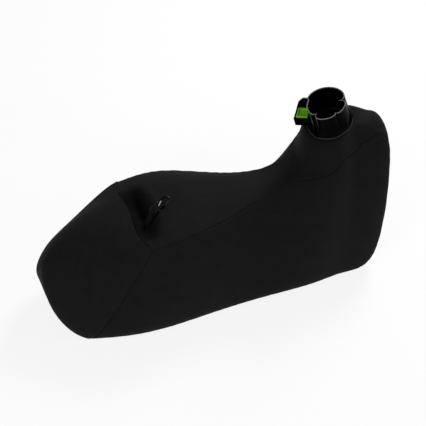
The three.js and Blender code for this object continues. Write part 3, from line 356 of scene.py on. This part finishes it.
def with_valley(point, along, girth):
    """Presses the valley into the top: steep under the nose's lip, which reaches less far over
    it towards the gusset seams, and easy on its rear side."""
    half = np.abs(girth)
    offset = point[..., 0] - section(np.zeros_like(half), girth)[..., 0]
    lip_reach = LIP_REACH * np.maximum(1 - half**BOW_POWER, LIP_LEAST_SHARE)
    to_lip = np.clip(-offset / lip_reach, 0, 1)
    up_back = np.clip(offset / VALLEY_BACK_WIDTH, 0, 1)
    lip_side, back_side = np.sqrt(1 - to_lip**LIP_STEEPNESS), np.cos(math.pi / 2 * up_back) ** 2
    depth = VALLEY_DEPTH * valley_depth_share(girth) * np.where(offset < 0, lip_side, back_side)
    point[..., 2] -= np.where((half < 1) & (along < VALLEY_LAST_SECTION), depth, 0)
    point[..., 2] = np.maximum(point[..., 2], 0)
    return point


def with_flat_seat(point, girth):
    """Lays the top flat under the collar's foot, and blends back into the dome round it."""
    from_seat = point - SEAT
    height = from_seat @ SEAT_NORMAL
    radius = np.sqrt(np.maximum((from_seat**2).sum(-1) - height**2, 0))
    weight = 1 - smoothstep(radius, SEAT_FLAT_RADIUS, SEAT_BLEND_RADIUS)
    weight = weight * (1 - smoothstep(np.abs(girth), SEAT_FLAT_GIRTH, 1))
    weight = np.where(np.abs(height) < SEAT_BLEND_DEPTH, weight, 0)
    return point - (weight * height)[..., None] * SEAT_NORMAL


def skin(along, girth):
    """The sack's outer surface. Along: -1 to 0 the nose, 0 to 5 the sewn length, 5 to 6 the rear."""
    along, girth = np.broadcast_arrays(np.asarray(along, float), np.asarray(girth, float))
    along, girth = moved_seams(along, girth)
    s = np.clip(along, 0, LAST)
    point = section(s, girth)
    nose_share = smoothstep(-along, 0, NOSE_FADE)[..., None]
    point = point + nose_share * (even_section(s, girth) - point)
    point = rounded_ends(point, s, along, girth)
    return with_flat_seat(with_valley(point, along, girth), girth)


def end_direction(row, outward):
    """The way that an end of the sack faces: square to its section, which leans back."""
    lean = math.atan2(RIDGE_X[row] - FLOOR_X[row], RIDGE_HEIGHT[row])
    return outward * np.array([math.cos(lean), 0, -math.sin(lean)])


def skin_normal(along, girth, step=0.01):
    """The way that the skin faces, which on the flat rear and the nose's tip is the end's own."""
    lengthwise = skin(along + step, girth) - skin(along - step, girth)
    around = skin(along, girth + step) - skin(along, girth - step)
    normal = np.cross(lengthwise, around)
    normal = normal / np.maximum(np.linalg.norm(normal, axis=-1, keepdims=True), NO_LENGTH)
    normal = np.where((along >= REAR_FLAT - SAME_PLACE)[..., None], end_direction(LAST, 1), normal)
    return np.where((along <= -1 + step)[..., None], end_direction(0, -1), normal)


# ------------------------------------------------------------------ sack panels
# Seven panels, turned in along their seams so that each seam shows as a fine furrow, with the
# slight pull of the thread beside it and the loose swell of a part-filled sack between.
CLOTH = 0.0016
CELL, SEAM_CELL, CELL_GROWTH, LAST_CELL_ROOM = 0.005, 0.0007, 1.45, 1.3
ROLL_DEPTH, ROLL_WIDTH, ROLL_POWER = 0.0022, 0.0017, 1.5
PUCKER_DEPTH, PUCKER_START, PUCKER_REACH, PUCKER_PITCH = 0.0006, 0.006, 0.022, 0.027
PUCKER_SLANT, PUCKER_DRIFT, DRIFT_PER_METRE = 0.55, 2.5, 31
SWELL_DEPTH, SWELL_PITCH, SWELL_START, SWELL_FULL = 0.0016, 0.11, 0.004, 0.04
FINE_SWELL, FINE_SWELL_RATE = 0.5, 2.3
FLOOR_HOLDS, COLLAR_HOLDS, COLLAR_FREES = 0.012, 0.07, 0.1
# Where the painted shade in the valley behind the nose runs: full from the nose seam, fading out along the
# top, and full where the valley is deep enough.
FOLD_SHADE_START, FOLD_SHADE_END, FOLD_SHADE_DEPTH = 0.18, 0.42, 0.2
WELD, SHORTEST_EDGE = 1e-6, 1e-7
FAR_FROM_SEAMS = 1.0


def steps_from_seam(length, cell=CELL):
    """Distances from a seam: close together beside it, then even."""
    marks, gap = [0.0], SEAM_CELL
    while marks[-1] + gap * LAST_CELL_ROOM < length:
        marks.append(marks[-1] + gap)
        gap = min(gap * CELL_GROWTH, cell)
    return np.array(marks + [length])


def between_seams(start, end, length):
    """Places from one seam to the next, close together beside both."""
    half = steps_from_seam(length / 2) / length
    shares = np.concatenate([half, 1 - half[-2::-1]])
    return start + (end - start) * shares


def end_rows(end, reaches):
    """The places along a rounded end at which it has reached these distances outwards."""
    return np.arcsin(np.clip(reaches / end["depth"], 0, 1) ** (end["power"] / 2)) * 2 / math.pi


def swell_at(place):
    coarse = noise.noise(Vector(place) / SWELL_PITCH)
    return coarse + FINE_SWELL * noise.noise(Vector(place) * FINE_SWELL_RATE / SWELL_PITCH)


def clothed(along, girth, from_seam):
    """The finished surface over skin, from each point's distance to the nearest seam."""
    point = skin(along, girth)
    normal = skin_normal(along, girth)
    roll = -ROLL_DEPTH * np.exp(-((from_seam / ROLL_WIDTH) ** ROLL_POWER))
    thread = point[..., 0] + point[..., 2] * PUCKER_SLANT
    gather = np.sin(2 * math.pi * thread / PUCKER_PITCH + PUCKER_DRIFT * np.sin(thread * DRIFT_PER_METRE))
    near_seam = np.exp(-from_seam / PUCKER_REACH) * smoothstep(from_seam, 0, PUCKER_START)
    swell = np.array([swell_at(place) for place in point.reshape(-1, 3)]).reshape(point.shape[:-1])
    loose = SWELL_DEPTH * swell * smoothstep(from_seam, SWELL_START, SWELL_FULL)
    off_floor = smoothstep(point[..., 2], 0, FLOOR_HOLDS)
    off_collar = smoothstep(np.linalg.norm(point - SEAT, axis=-1), COLLAR_HOLDS, COLLAR_FREES)
    proud = roll + (PUCKER_DEPTH * gather * near_seam + loose) * off_floor * off_collar
    return point + normal * proud[..., None], normal


def run_length(point, axis):
    """Each grid point's distance along the grid from its first row or column."""
    steps = np.linalg.norm(np.diff(point, axis=axis), axis=-1)
    return np.insert(np.cumsum(steps, axis), 0, 0, axis)


def seam_distance(point, sewn_sides):
    """Each grid point's distance along the grid to the nearest of its sewn sides."""
    best = np.full(point.shape[:2], FAR_FROM_SEAMS)
    for axis, start, end in ((1, "left", "right"), (0, "front", "back")):
        if start in sewn_sides:
            best = np.minimum(best, run_length(point, axis))
        if end in sewn_sides:
            best = np.minimum(best, np.flip(run_length(np.flip(point, axis), axis), axis))
    return best


def grid_solid(name, outer, inner, shade):
    """A closed mesh between two grids of points. The lengths along its warp and weft are kept in the UV
    layer weave, and each point's share of the painted shade in the valley behind the nose in the layer
    fold."""
    rows, columns = outer.shape[:2]
    points = np.concatenate([outer.reshape(-1, 3), inner.reshape(-1, 3)])
    index = np.arange(rows * columns).reshape(rows, columns)
    a, b, c, d = index[:-1, :-1], index[1:, :-1], index[1:, 1:], index[:-1, 1:]
    top = np.stack([a, b, c, d], -1).reshape(-1, 4)
    under = np.stack([a, d, c, b], -1).reshape(-1, 4) + rows * columns
    border = np.concatenate([index[:, 0], index[-1, 1:], index[-2::-1, -1], index[0, -2:0:-1]])
    following = np.roll(border, -1)
    rim = np.stack([following, border, border + rows * columns, following + rows * columns], -1)
    made = mesh_object(name, points, np.concatenate([top, under, rim]).tolist())
    corners = np.zeros(len(made.data.loops), int)
    made.data.loops.foreach_get("vertex_index", corners)
    for layer, pair in (("weave", (run_length(outer, 0), run_length(outer, 1))), ("fold", (shade, shade))):
        values = np.stack(pair, -1).reshape(-1, 2)
        uv = made.data.uv_layers.new(name=layer)
        uv.data.foreach_set("uv", np.concatenate([values, values])[corners].ravel())
    cleaned = bmesh.new()
    cleaned.from_mesh(made.data)
    bmesh.ops.remove_doubles(cleaned, verts=cleaned.verts, dist=WELD)
    bmesh.ops.dissolve_degenerate(cleaned, edges=cleaned.edges, dist=SHORTEST_EDGE)
    cleaned.to_mesh(made.data)
    cleaned.free()
    return made


def apply_modifiers(piece):
    """Keep a piece's modified mesh as its own, so that the modifiers can go."""
    evaluated = piece.evaluated_get(bpy.context.evaluated_depsgraph_get())
    worked = bpy.data.meshes.new_from_object(evaluated)
    piece.modifiers.clear()
    piece.data = worked


def cut_out(piece, cutter):
    cut = piece.modifiers.new("cut", "BOOLEAN")
    cut.operation, cut.solver, cut.object = "DIFFERENCE", "EXACT", cutter
    apply_modifiers(piece)
    bpy.data.objects.remove(cutter)


def sewn_panel(name, node, along, girth, sewn_sides):
    """One panel of the sack, in the scene and in place of its solid."""
    along, girth = np.broadcast_arrays(along, girth)
    from_seam = seam_distance(skin(along, girth), sewn_sides)
    outer, normal = clothed(along, girth, from_seam)
    outer[..., 2] = np.maximum(outer[..., 2], 0)
    inner = outer - normal * CLOTH
    # Painted shade: the cloth is coloured darker in the valley behind the nose, for the shade that falls in
    # it. This is each point's share of that colour.
    behind_seam = np.where(along >= 0, 1 - smoothstep(along, FOLD_SHADE_START, FOLD_SHADE_END), 0)
    depth_share = valley_depth_share(np.where(np.abs(girth) > 1, 1, girth))
    made = grid_solid(name, outer, inner, behind_seam * smoothstep(depth_share, 0, FOLD_SHADE_DEPTH))
    made.data.materials.append(sack_cloth.material)
    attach(made, "bag")
    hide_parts(node)
    return made


THREAD_PITCH = 0.0011
CLOTH_COLOR = (0.0062, 0.0062, 0.0066, 1)
CLOTH_FADED = (0.0088, 0.0088, 0.0092, 1)
# The near black that the cloth is painted in the valley behind the nose, as painted shade for that fold.
CLOTH_IN_FOLD_SHADE = (0.0012, 0.0012, 0.0013, 1)
sack_cloth = Finish("sack_polyester", specular_ior_level=0.06, sheen_weight=0.03,
                    sheen_roughness=0.4, sheen_tint=(0.5, 0.5, 0.51, 1))
warp, weft, _ = sack_cloth.node("ShaderNodeUVMap", {"uv_map": "weave"}).parts()
fold_shade_share = sack_cloth.node("ShaderNodeUVMap", {"uv_map": "fold"}).parts()[0]
threads = warp.waves(THREAD_PITCH) * weft.waves(THREAD_PITCH)
cloud = sack_cloth.grain(scale=14, detail=4)
slub = sack_cloth.grain(scale=420, detail=2)
tone = sack_cloth.node("ShaderNodeValToRGB", {"stops": [(0.3, 0), (0.75, 1)]}, [cloud * 0.8 + slub * 0.2])
aired = sack_cloth.blend(tone, CLOTH_COLOR, CLOTH_FADED)
# Painted shade: the base colour goes to near black in the valley behind the nose.
sack_cloth.set("Base Color", sack_cloth.blend(fold_shade_share, aired, CLOTH_IN_FOLD_SHADE))
sack_cloth.roughen(slub, least=0.76, spread=0.12)
sack_cloth.bump(threads * 0.5 + slub * 0.6 + cloud * 0.4, strength=0.35, distance=0.0004)

GUSSET_LENGTH, SIDE_LENGTH, FLOOR_LENGTH, SECTION_LENGTH = 0.1, 0.42, 0.1, 0.125
REAR_ROWS, REAR_SEAM_MARGIN, REAR_SEAM_ROWS = 17, 0.03, np.array([0.02, 0.012, 0.006, 0.0025, 0])
SIDE_END_ROWS = np.array([0.9, 0.97, 0.9995])
NOSE_FINE_REACH, NOSE_FINE_CELL, NOSE_EVEN_REACH, NOSE_TIP_ROWS = 0.045, 0.0016, 0.140, 15
NOSE_FLOOR_STEP, NOSE_SIDE_STEP, GIRTH_DIGITS = 3, 2, 6
ALL_ROUND = ("left", "right", "front", "back")

gusset_columns = 1 - steps_from_seam(GUSSET_LENGTH) / GUSSET_LENGTH
top_girth = np.concatenate([-gusset_columns[:-1], gusset_columns[::-1]])
side_girth = between_seams(1, 2, SIDE_LENGTH)
floor_girth = 2 + steps_from_seam(FLOOR_LENGTH) / FLOOR_LENGTH
base_girth = np.concatenate([floor_girth, 6 - floor_girth[-2::-1]])
rear_rows = LAST + end_rows(REAR, np.arange(1, REAR_ROWS + 1) * CELL)
rear_rows = rear_rows[rear_rows < REAR_FLAT - REAR_SEAM_MARGIN]
body_rows = np.concatenate([steps_from_seam(LAST * SECTION_LENGTH) / SECTION_LENGTH, rear_rows,
                            REAR_FLAT - REAR_SEAM_ROWS])

even_reaches = np.arange(NOSE_FINE_REACH + CELL, NOSE_EVEN_REACH + CELL / 2, CELL)
nose_reaches = np.concatenate([steps_from_seam(NOSE_FINE_REACH, NOSE_FINE_CELL), even_reaches])
nose_turns = end_rows(NOSE, nose_reaches)
tip_turns = np.linspace(nose_turns[-1], 1, NOSE_TIP_ROWS + 1)[1:]
nose_rows = -np.concatenate([nose_turns, tip_turns])[::-1]
nose_girth = np.unique(np.round(np.concatenate([
    -floor_girth[::-NOSE_FLOOR_STEP], -side_girth[::-NOSE_SIDE_STEP][1:], top_girth[1:-1],
    side_girth[::NOSE_SIDE_STEP][:-1], floor_girth[::NOSE_FLOOR_STEP], [-3, 3]]), GIRTH_DIGITS))
sewn_panel("nose_cloth", "nose_panel", nose_rows[:, None], nose_girth[None, :], ("back",))

BORE_RADIUS, BORE_SIDES, BORE_CUT = 0.046, 80, 0.02
top_panel = sewn_panel("top_cloth", "top_panel", body_rows[:, None], top_girth[None, :], ALL_ROUND)
round_bore = 2 * math.pi * np.arange(BORE_SIDES) / BORE_SIDES
ring = [Vector((BORE_RADIUS * math.cos(turn), BORE_RADIUS * math.sin(turn), 0)) for turn in round_bore]
tilt = Matrix.Rotation(-SEAT_TILT, 3, "Y")
bore = [Vector(SEAT) + tilt @ (point + Vector((0, 0, z))) for z in (-BORE_CUT, BORE_CUT) for point in ring]
bore_faces = [tuple(range(BORE_SIDES))[::-1], tuple(range(BORE_SIDES, 2 * BORE_SIDES))]
for corner in range(BORE_SIDES):
    after = (corner + 1) % BORE_SIDES
    bore_faces.append((corner, after, after + BORE_SIDES, corner + BORE_SIDES))
cut_out(top_panel, mesh_object("bore", bore, bore_faces))

side_rows = np.concatenate([body_rows, LAST + SIDE_END_ROWS])
for side, name in ((-1, "left"), (1, "right")):
    girth = side_girth if side > 0 else -side_girth[::-1]
    sewn_panel(f"{name}_side_cloth", f"side_panel_{name}", side_rows[:, None], girth[None, :],
               ("left", "right", "front"))
sewn_panel("base_cloth", "base_panel", body_rows[:, None], base_girth[None, :], ALL_ROUND)

# ------------------------------------------------------------------ rear panels
# Two flat halves of the rear face, of the sack's own cloth. Each is sewn to the top panel, to
# its side panel and to the base, and hemmed where it meets the zip.
ZIP_OPENING_HALF = 0.007
REAR_LENGTH, REAR_WIDTH = 0.1, 0.055


def rear_grid(side):
    """The places on one half of the rear, from the top seam down to the floor's seam."""
    edge = REAR_FLAT - LAST
    near_seam = edge + (1 - edge) * steps_from_seam(REAR_LENGTH) / REAR_LENGTH
    rows = np.concatenate([near_seam, 2 - near_seam[-2::-1]])
    shares = between_seams(0, 1, REAR_WIDTH)
    upper = rows <= 1
    turn = np.where(upper, rows, 2 - rows)
    shrink = cap_shrink(turn, REAR)
    seam_y = np.where(upper, GUSSET_HALF_WIDTH[-1], TUCK * SIDE_HALF_WIDTH[-1])
    zip_girth = ZIP_OPENING_HALF / (REAR["slit"] + (seam_y - REAR["slit"]) * shrink)
    girth = zip_girth[:, None] + (1 - zip_girth[:, None]) * shares[None, :]
    girth = np.where(upper[:, None], girth, 3 - girth)
    along = np.broadcast_to((LAST + turn)[:, None], girth.shape)
    return (along, girth) if side > 0 else (along[:, ::-1], -girth[:, ::-1])


for side, name in ((-1, "left"), (1, "right")):
    along, girth = rear_grid(side)
    sewn_panel(f"rear_{name}_cloth", f"rear_panel_{name}", along, girth, ALL_ROUND)

# ------------------------------------------------------------------ collar
# Glossy black ABS in one moulding: an eight-sided foot turns into a fluted mouth of four lobes.
# It stands on a rubber gasket, and six screws draw it to a ring inside the sack.
SEAT_GAP, GASKET = 0.0003, 0.002
LATCH_AZIMUTH = math.radians(146)
COLLAR_HEIGHT, COLLAR_WALL, FLANGE = 0.0674, 0.003, 0.004
BASE_APOTHEM, BASE_FACET_SHARE, BASE_SIDES = 0.0555, 0.6, 8
LOBE_START = (-18, 68, 139, 198)
LOBE_CUSP = (0.050, 0.035, 0.045, 0.037)
LOBE_CREST = (0.046, 0.053, 0.054, 0.057)
LOBE_POWER, DEGREES_PER_COLUMN = 4, 1.6
FLUTE_START, FLUTE_END = 0.006, 0.048
LATCH_WALL_START, LATCH_WALL_END, LATCH_WALL_SOFT_EDGE = 0.002, 0.010, 8
OUTER_LIP, INNER_LIP, FOOT_EDGE, LIP_RINGS = 0.0011, 0.0009, 0.0005, 5
LOW_WALL_END, LOW_WALL_RINGS, HIGH_WALL_START, HIGH_WALL_RINGS = 0.012, 14, 0.0135, 34
INNER_WALL_DROP, INNER_WALL_RINGS = 0.002, 32

collar_frame = (Matrix.Translation(Vector(SEAT)) @ Matrix.Rotation(-SEAT_TILT, 4, "Y")
                @ Matrix.Rotation(LATCH_AZIMUTH, 4, "Z"))
tube_bottom = SEAT_GAP + GASKET + SEAT_GAP
degrees, mouth = [], []
for lobe, start in enumerate(LOBE_START):
    following = (lobe + 1) % len(LOBE_START)
    end = LOBE_START[following] + (360 if following == 0 else 0)
    count = round((end - start) / DEGREES_PER_COLUMN)
    for share in (1 - np.cos(math.pi * np.arange(count) / count)) / 2:
        floor = LOBE_CUSP[lobe] + share * (LOBE_CUSP[following] - LOBE_CUSP[lobe])
        fullness = math.sqrt(1 - abs(2 * share - 1) ** LOBE_POWER)
        degrees.append(start + share * (end - start))
        mouth.append(floor + (LOBE_CREST[lobe] - floor) * fullness)
degrees, mouth = np.array(degrees), np.array(mouth)
facet = 360 / BASE_SIDES
from_flat = np.radians((degrees + facet / 2) % facet - facet / 2)
foot = BASE_APOTHEM * (1 - BASE_FACET_SHARE + BASE_FACET_SHARE / np.cos(from_flat))
soft = LATCH_WALL_SOFT_EDGE
latch_wall = np.maximum(
    smoothstep(degrees, LOBE_START[0] - soft, LOBE_START[0])
    * (1 - smoothstep(degrees, LOBE_START[1], LOBE_START[1] + soft)),
    smoothstep(degrees, LOBE_START[0] + 360 - soft, LOBE_START[0] + 360),
)


def tube_radius(z):
    """The outer wall's radius in each direction, from the foot's shape to the mouth's."""
    start = FLUTE_START + (LATCH_WALL_START - FLUTE_START) * latch_wall
    end = FLUTE_END + (LATCH_WALL_END - FLUTE_END) * latch_wall
    return foot + (mouth - foot) * smoothstep(z, start, end)


def plain_ring(radius):
    return np.full_like(degrees, radius)


def closed_tube(name, rings):
    """A closed mesh through rings that run round the wall's profile and back to the first."""
    turn = np.radians(degrees)
    points = np.array([
        np.stack([radius * np.cos(turn), radius * np.sin(turn), plain_ring(z)], -1) for radius, z in rings])
    rows, columns = points.shape[:2]
    index = np.arange(rows * columns).reshape(rows, columns)
    a, b = index, np.roll(index, -1, 1)
    faces = np.stack([a, b, np.roll(b, -1, 0), np.roll(a, -1, 0)], -1).reshape(-1, 4)
    return mesh_object(name, points.reshape(-1, 3), faces.tolist())


quarter = np.linspace(0, math.pi / 2, LIP_RINGS + 1)
low_levels = np.linspace(FOOT_EDGE, LOW_WALL_END, LOW_WALL_RINGS)
high_levels = np.linspace(HIGH_WALL_START, COLLAR_HEIGHT - OUTER_LIP, HIGH_WALL_RINGS)
inner_levels = np.linspace(COLLAR_HEIGHT - INNER_WALL_DROP, FLANGE, INNER_WALL_RINGS)
mouth_radius = tube_radius(COLLAR_HEIGHT)
rings = [(tube_radius(z), z) for z in np.concatenate([low_levels, high_levels])]
rings += [(mouth_radius - OUTER_LIP * (1 - math.cos(a)), COLLAR_HEIGHT - OUTER_LIP * (1 - math.sin(a)))
          for a in quarter[1:]]
rings += [(mouth_radius - COLLAR_WALL + INNER_LIP * (1 - math.sin(a)),
           COLLAR_HEIGHT - INNER_LIP * (1 - math.cos(a))) for a in quarter]
rings += [(tube_radius(z) - COLLAR_WALL, z) for z in inner_levels]
rings += [(plain_ring(BORE_RADIUS + FOOT_EDGE), FLANGE), (plain_ring(BORE_RADIUS), FLANGE - FOOT_EDGE)]
rings += [(plain_ring(BORE_RADIUS), FOOT_EDGE), (plain_ring(BORE_RADIUS + FOOT_EDGE), 0)]
rings += [(foot - FOOT_EDGE, 0)]
collar_tube = closed_tube("collar_moulding", [(radius, tube_bottom + z) for radius, z in rings])

WINDOW_X, WINDOW_Y, WINDOW_Z = (0.032, 0.0525), (-0.0072, 0.0072), (0.0273, 0.0385)
CREASE_ANGLE = math.radians(38)
window_corners = [(x, y, z) for x in WINDOW_X for y in WINDOW_Y for z in WINDOW_Z]
cut_out(collar_tube, mesh_object("window", window_corners, [
    (0, 1, 3, 2), (4, 6, 7, 5), (0, 4, 5, 1), (2, 3, 7, 6), (0, 2, 6, 4), (1, 5, 7, 3)]))
collar_tube.data.shade_smooth()
collar_tube.data.set_sharp_from_angle(angle=CREASE_ANGLE)
collar_tube.data.transform(collar_frame)

# Painted highlights: the glossy black goes grey in a thin band at the height of the collar's lip, and part
# way to grey just above its foot, for the light that these rounded edges catch.
GLOSS_BLACK, EDGE_HIGHLIGHT = (0.0008, 0.0008, 0.0009, 1), (0.13, 0.13, 0.135, 1)
LIP_HIGHLIGHT_START, LIP_HIGHLIGHT_FULL = 0.0016, 0.0002
FOOT_HIGHLIGHT_FULL, FOOT_HIGHLIGHT_END, FOOT_HIGHLIGHT_SHARE = 0.001, 0.0024, 0.6
gloss_black = Finish("gloss_black_abs", specular_ior_level=0.014)
smear = gloss_black.grain(scale=38, detail=5)
flow = gloss_black.grain(scale=900, detail=1)
in_collar = gloss_black.node("ShaderNodeTexCoord", output="Object")
up_collar = gloss_black.node("ShaderNodeVectorMath", {"operation": "DOT_PRODUCT"},
                             [in_collar, Vector(SEAT_NORMAL)], output="Value")
foot_level = float(SEAT @ SEAT_NORMAL) + tube_bottom
lip_level = foot_level + COLLAR_HEIGHT
near_lip = up_collar.rise(lip_level - LIP_HIGHLIGHT_START, lip_level - LIP_HIGHLIGHT_FULL)
near_foot = 1 - up_collar.rise(foot_level + FOOT_HIGHLIGHT_FULL, foot_level + FOOT_HIGHLIGHT_END)
# The share of the painted highlight at the lip and at the foot.
highlight_share = near_lip + near_foot * FOOT_HIGHLIGHT_SHARE
gloss_black.set("Base Color", gloss_black.blend(highlight_share, GLOSS_BLACK, EDGE_HIGHLIGHT))
gloss_black.roughen(smear, least=0.1, spread=0.1)
gloss_black.bump(flow + smear * 0.5, strength=0.12, distance=0.0001)
collar_tube.data.materials.append(gloss_black.material)
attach(collar_tube, "bag")
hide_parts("collar_tube")

# ------------------------------------------------------------------ gasket, clamp ring and screws
# A black rubber gasket under the foot; inside the sack a tougher plastic ring, and six
# pan-head steel screws that go up through it and the cloth into the collar.
SCREW_COUNT = 6
gasket_rubber = Finish("gasket_rubber", base_color=(0.012, 0.012, 0.012, 1), specular_ior_level=0.3)
bloom = gasket_rubber.grain(scale=260, detail=4)
gasket_rubber.roughen(bloom, least=0.6, spread=0.25)
gasket_rubber.bump(bloom, strength=0.25, distance=0.0002)
clamp_plastic = Finish("clamp_nylon", base_color=(0.014, 0.014, 0.015, 1), specular_ior_level=0.4)
mould_grain = clamp_plastic.grain(scale=700, detail=3)
clamp_plastic.roughen(mould_grain, least=0.35, spread=0.3)
clamp_plastic.bump(mould_grain, strength=0.3, distance=0.0001)
bright_steel = Finish("zinc_plated_steel", base_color=(0.55, 0.55, 0.57, 1), metallic=1.0)
draw_marks = bright_steel.grain(scale=1200, detail=2)
tarnish = bright_steel.grain(scale=90, detail=3)
bright_steel.set("Roughness", draw_marks * 0.15 + tarnish * 0.2 + 0.15)
bright_steel.bump(draw_marks, strength=0.15, distance=0.00005)


def finished(node, finish):
    piece = bpy.data.objects[node]
    piece.data.materials.clear()
    piece.data.materials.append(finish.material)


finished("collar_gasket", gasket_rubber)
finished("clamp_ring", clamp_plastic)
for number in range(1, SCREW_COUNT + 1):
    finished(f"clamp_screw_{number}", bright_steel)

# ------------------------------------------------------------------ latch
# A housing of the collar's black ABS clipped to its side, and a lime button on a steel pin.
# Pressing the button down draws its pawl out of the blower's outlet; a coil spring returns it.
MOULDED_EDGE, MOULDED_SEGMENTS = 0.0007, 3
EDGE_ANGLE, FLAT_ANGLE = math.radians(28), math.radians(1)


def softened(node, name, width=MOULDED_EDGE, segments=MOULDED_SEGMENTS, reshape=None):
    """A copy of a CAD piece with the rounded edges that its mould or press leaves."""
    made = bpy.data.objects.new(name, bpy.data.objects[node].data.copy())
    bpy.context.scene.collection.objects.link(made)
    made.data.materials.clear()
    cleaned = bmesh.new()
    cleaned.from_mesh(made.data)
    bmesh.ops.remove_doubles(cleaned, verts=cleaned.verts, dist=WELD)
    bmesh.ops.dissolve_limit(cleaned, angle_limit=FLAT_ANGLE, verts=cleaned.verts, edges=cleaned.edges)
    if reshape:
        reshape(cleaned.verts)
    cleaned.to_mesh(made.data)
    cleaned.free()
    edge = made.modifiers.new("edge", "BEVEL")
    edge.width, edge.segments = width, segments
    edge.limit_method, edge.angle_limit = "ANGLE", EDGE_ANGLE
    edge.harden_normals = True
    made.data.shade_smooth()
    apply_modifiers(made)
    return made


def dress(piece, finish, body, node):
    piece.data.materials.append(finish.material)
    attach(piece, body)
    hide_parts(node)


TRAY_TOP, TRAY_LIP, TRAY_TOLERANCE = 0.024, 0.0335, 0.0002
into_collar = collar_frame.inverted()


def raise_tray(corners):
    """Carry the tray's walls up beside the button, to just below its thumb face."""
    for corner in corners:
        place = into_collar @ corner.co
        if abs(place.z - TRAY_TOP) < TRAY_TOLERANCE:
            corner.co = collar_frame @ Vector((place.x, place.y, TRAY_LIP))


housing = softened("latch_housing", "latch_housing_moulding", reshape=raise_tray)
dress(housing, gloss_black, "bag", "latch_housing")

# The button is lime where it is seen and touched. Its pawl, which reaches into the dark bore, is
# black from the collar's wall inwards.
BUTTON_EDGE, PAWL_REACH = 0.0009, 0.0535
LIME, LIME_DEEP, MOTTLE_SHARE = (0.17, 0.49, 0.012, 1), (0.12, 0.38, 0.01, 1), 0.5
lime_plastic = Finish("lime_abs", specular_ior_level=0.4)
mottle = lime_plastic.grain(scale=160, detail=4)
lime_plastic.set("Base Color", lime_plastic.blend(mottle * MOTTLE_SHARE, LIME, LIME_DEEP))
lime_plastic.roughen(mottle, least=0.25, spread=0.15)
lime_plastic.bump(mottle, strength=0.15, distance=0.0001)
button = softened("latch_button", "latch_button_moulding", BUTTON_EDGE)
dress(button, lime_plastic, "latch", "latch_button")
button.data.materials.append(gloss_black.material)
for face in button.data.polygons:
    if (into_collar @ face.center).x < PAWL_REACH:
        face.material_index = 1
finished("latch_pin", bright_steel)
finished("latch_spring", bright_steel)

# ------------------------------------------------------------------ snap hook
# A glossy black nylon snap hook: an oval ring with a sprung gate on a steel pin, and a bar that
# the webbing tab loops round. It hangs the sack's front end from the blower.
HOOK_EDGE, HOOK_SEGMENTS = 0.0016, 4
hook_nylon = Finish("hook_gloss_nylon", base_color=(0.0016, 0.0016, 0.0018, 1), specular_ior_level=0.16)
hook_nylon.roughen(hook_nylon.grain(scale=160, detail=3), least=0.1, spread=0.12)
hook_body = softened("hook_body", "hook_body_moulding", HOOK_EDGE, HOOK_SEGMENTS)
dress(hook_body, hook_nylon, "hook", "hook_body")
dress(softened("hook_gate", "hook_gate_moulding"), hook_nylon, "gate", "hook_gate")
finished("hook_gate_pin", bright_steel)
finished("hook_gate_spring", bright_steel)

# ------------------------------------------------------------------ webbing tab
# A loop of black polypropylene webbing round the hook's bar. Its two ends lie together and are
# sewn into the cloth behind the nose, where the hook's pull runs into both panels.
RIB_PITCH, WEBBING_EDGE, WEBBING_SEGMENTS = 0.0016, 0.0004, 2
webbing = Finish("black_webbing", base_color=(0.0022, 0.0022, 0.0024, 1), specular_ior_level=0.06,
                 sheen_weight=0.02, sheen_roughness=0.5)
web_x, web_y, web_z = webbing.node("ShaderNodeTexCoord", output="Object").parts()
rib = web_y.waves(RIB_PITCH)
pick = (web_z + web_x).waves(2 * RIB_PITCH)
fuzz = webbing.grain(scale=900, detail=3)
webbing.roughen(fuzz, least=0.65, spread=0.2)
webbing.bump(rib * 0.6 + pick * 0.3 + fuzz * 0.4, strength=0.6, distance=0.0005)
tab = softened("hook_webbing", "webbing_loop", WEBBING_EDGE, WEBBING_SEGMENTS)
dress(tab, webbing, "bag", "hook_webbing")

# ------------------------------------------------------------------ zip
# A coarse moulded zip in the rear face: tapes sewn behind the hems, teeth, steel stops, and a
# cast slider whose pull hangs from a bail.
TWILL_PITCH = 0.0012
TOOTH_EDGE, METAL_EDGE, ZIP_SEGMENTS = 0.00025, 0.0004, 2
zip_cloth = Finish("zip_tape_twill", base_color=(0.008, 0.008, 0.009, 1), roughness=0.85,
                   specular_ior_level=0.2)
_, tape_y, tape_z = zip_cloth.node("ShaderNodeTexCoord", output="Object").parts()
zip_cloth.bump((tape_y + tape_z).waves(TWILL_PITCH), strength=0.5, distance=0.0003)
for side in ("left", "right"):
    finished(f"zip_tape_{side}", zip_cloth)
    teeth = softened(f"zip_teeth_{side}", f"zip_teeth_{side}_moulding", TOOTH_EDGE, ZIP_SEGMENTS)
    dress(teeth, clamp_plastic, "bag", f"zip_teeth_{side}")

dark_zinc = Finish("blackened_zinc", base_color=(0.045, 0.045, 0.048, 1), metallic=1.0)
rub = dark_zinc.grain(scale=240, detail=5)
dark_zinc.roughen(rub, least=0.25, spread=0.3)
dark_zinc.bump(rub, strength=0.2, distance=0.0001)
ZIP_METAL = [
    ("zip_top_stop_left", "pressing", "bag"),
    ("zip_top_stop_right", "pressing", "bag"),
    ("zip_bottom_stop", "pressing", "bag"),
    ("zip_slider", "casting", "slider"),
    ("zip_pull", "pressing", "pull"),
]
for node, work, body in ZIP_METAL:
    piece = softened(node, f"{node}_{work}", METAL_EDGE, ZIP_SEGMENTS)
    dress(piece, dark_zinc, body, node)
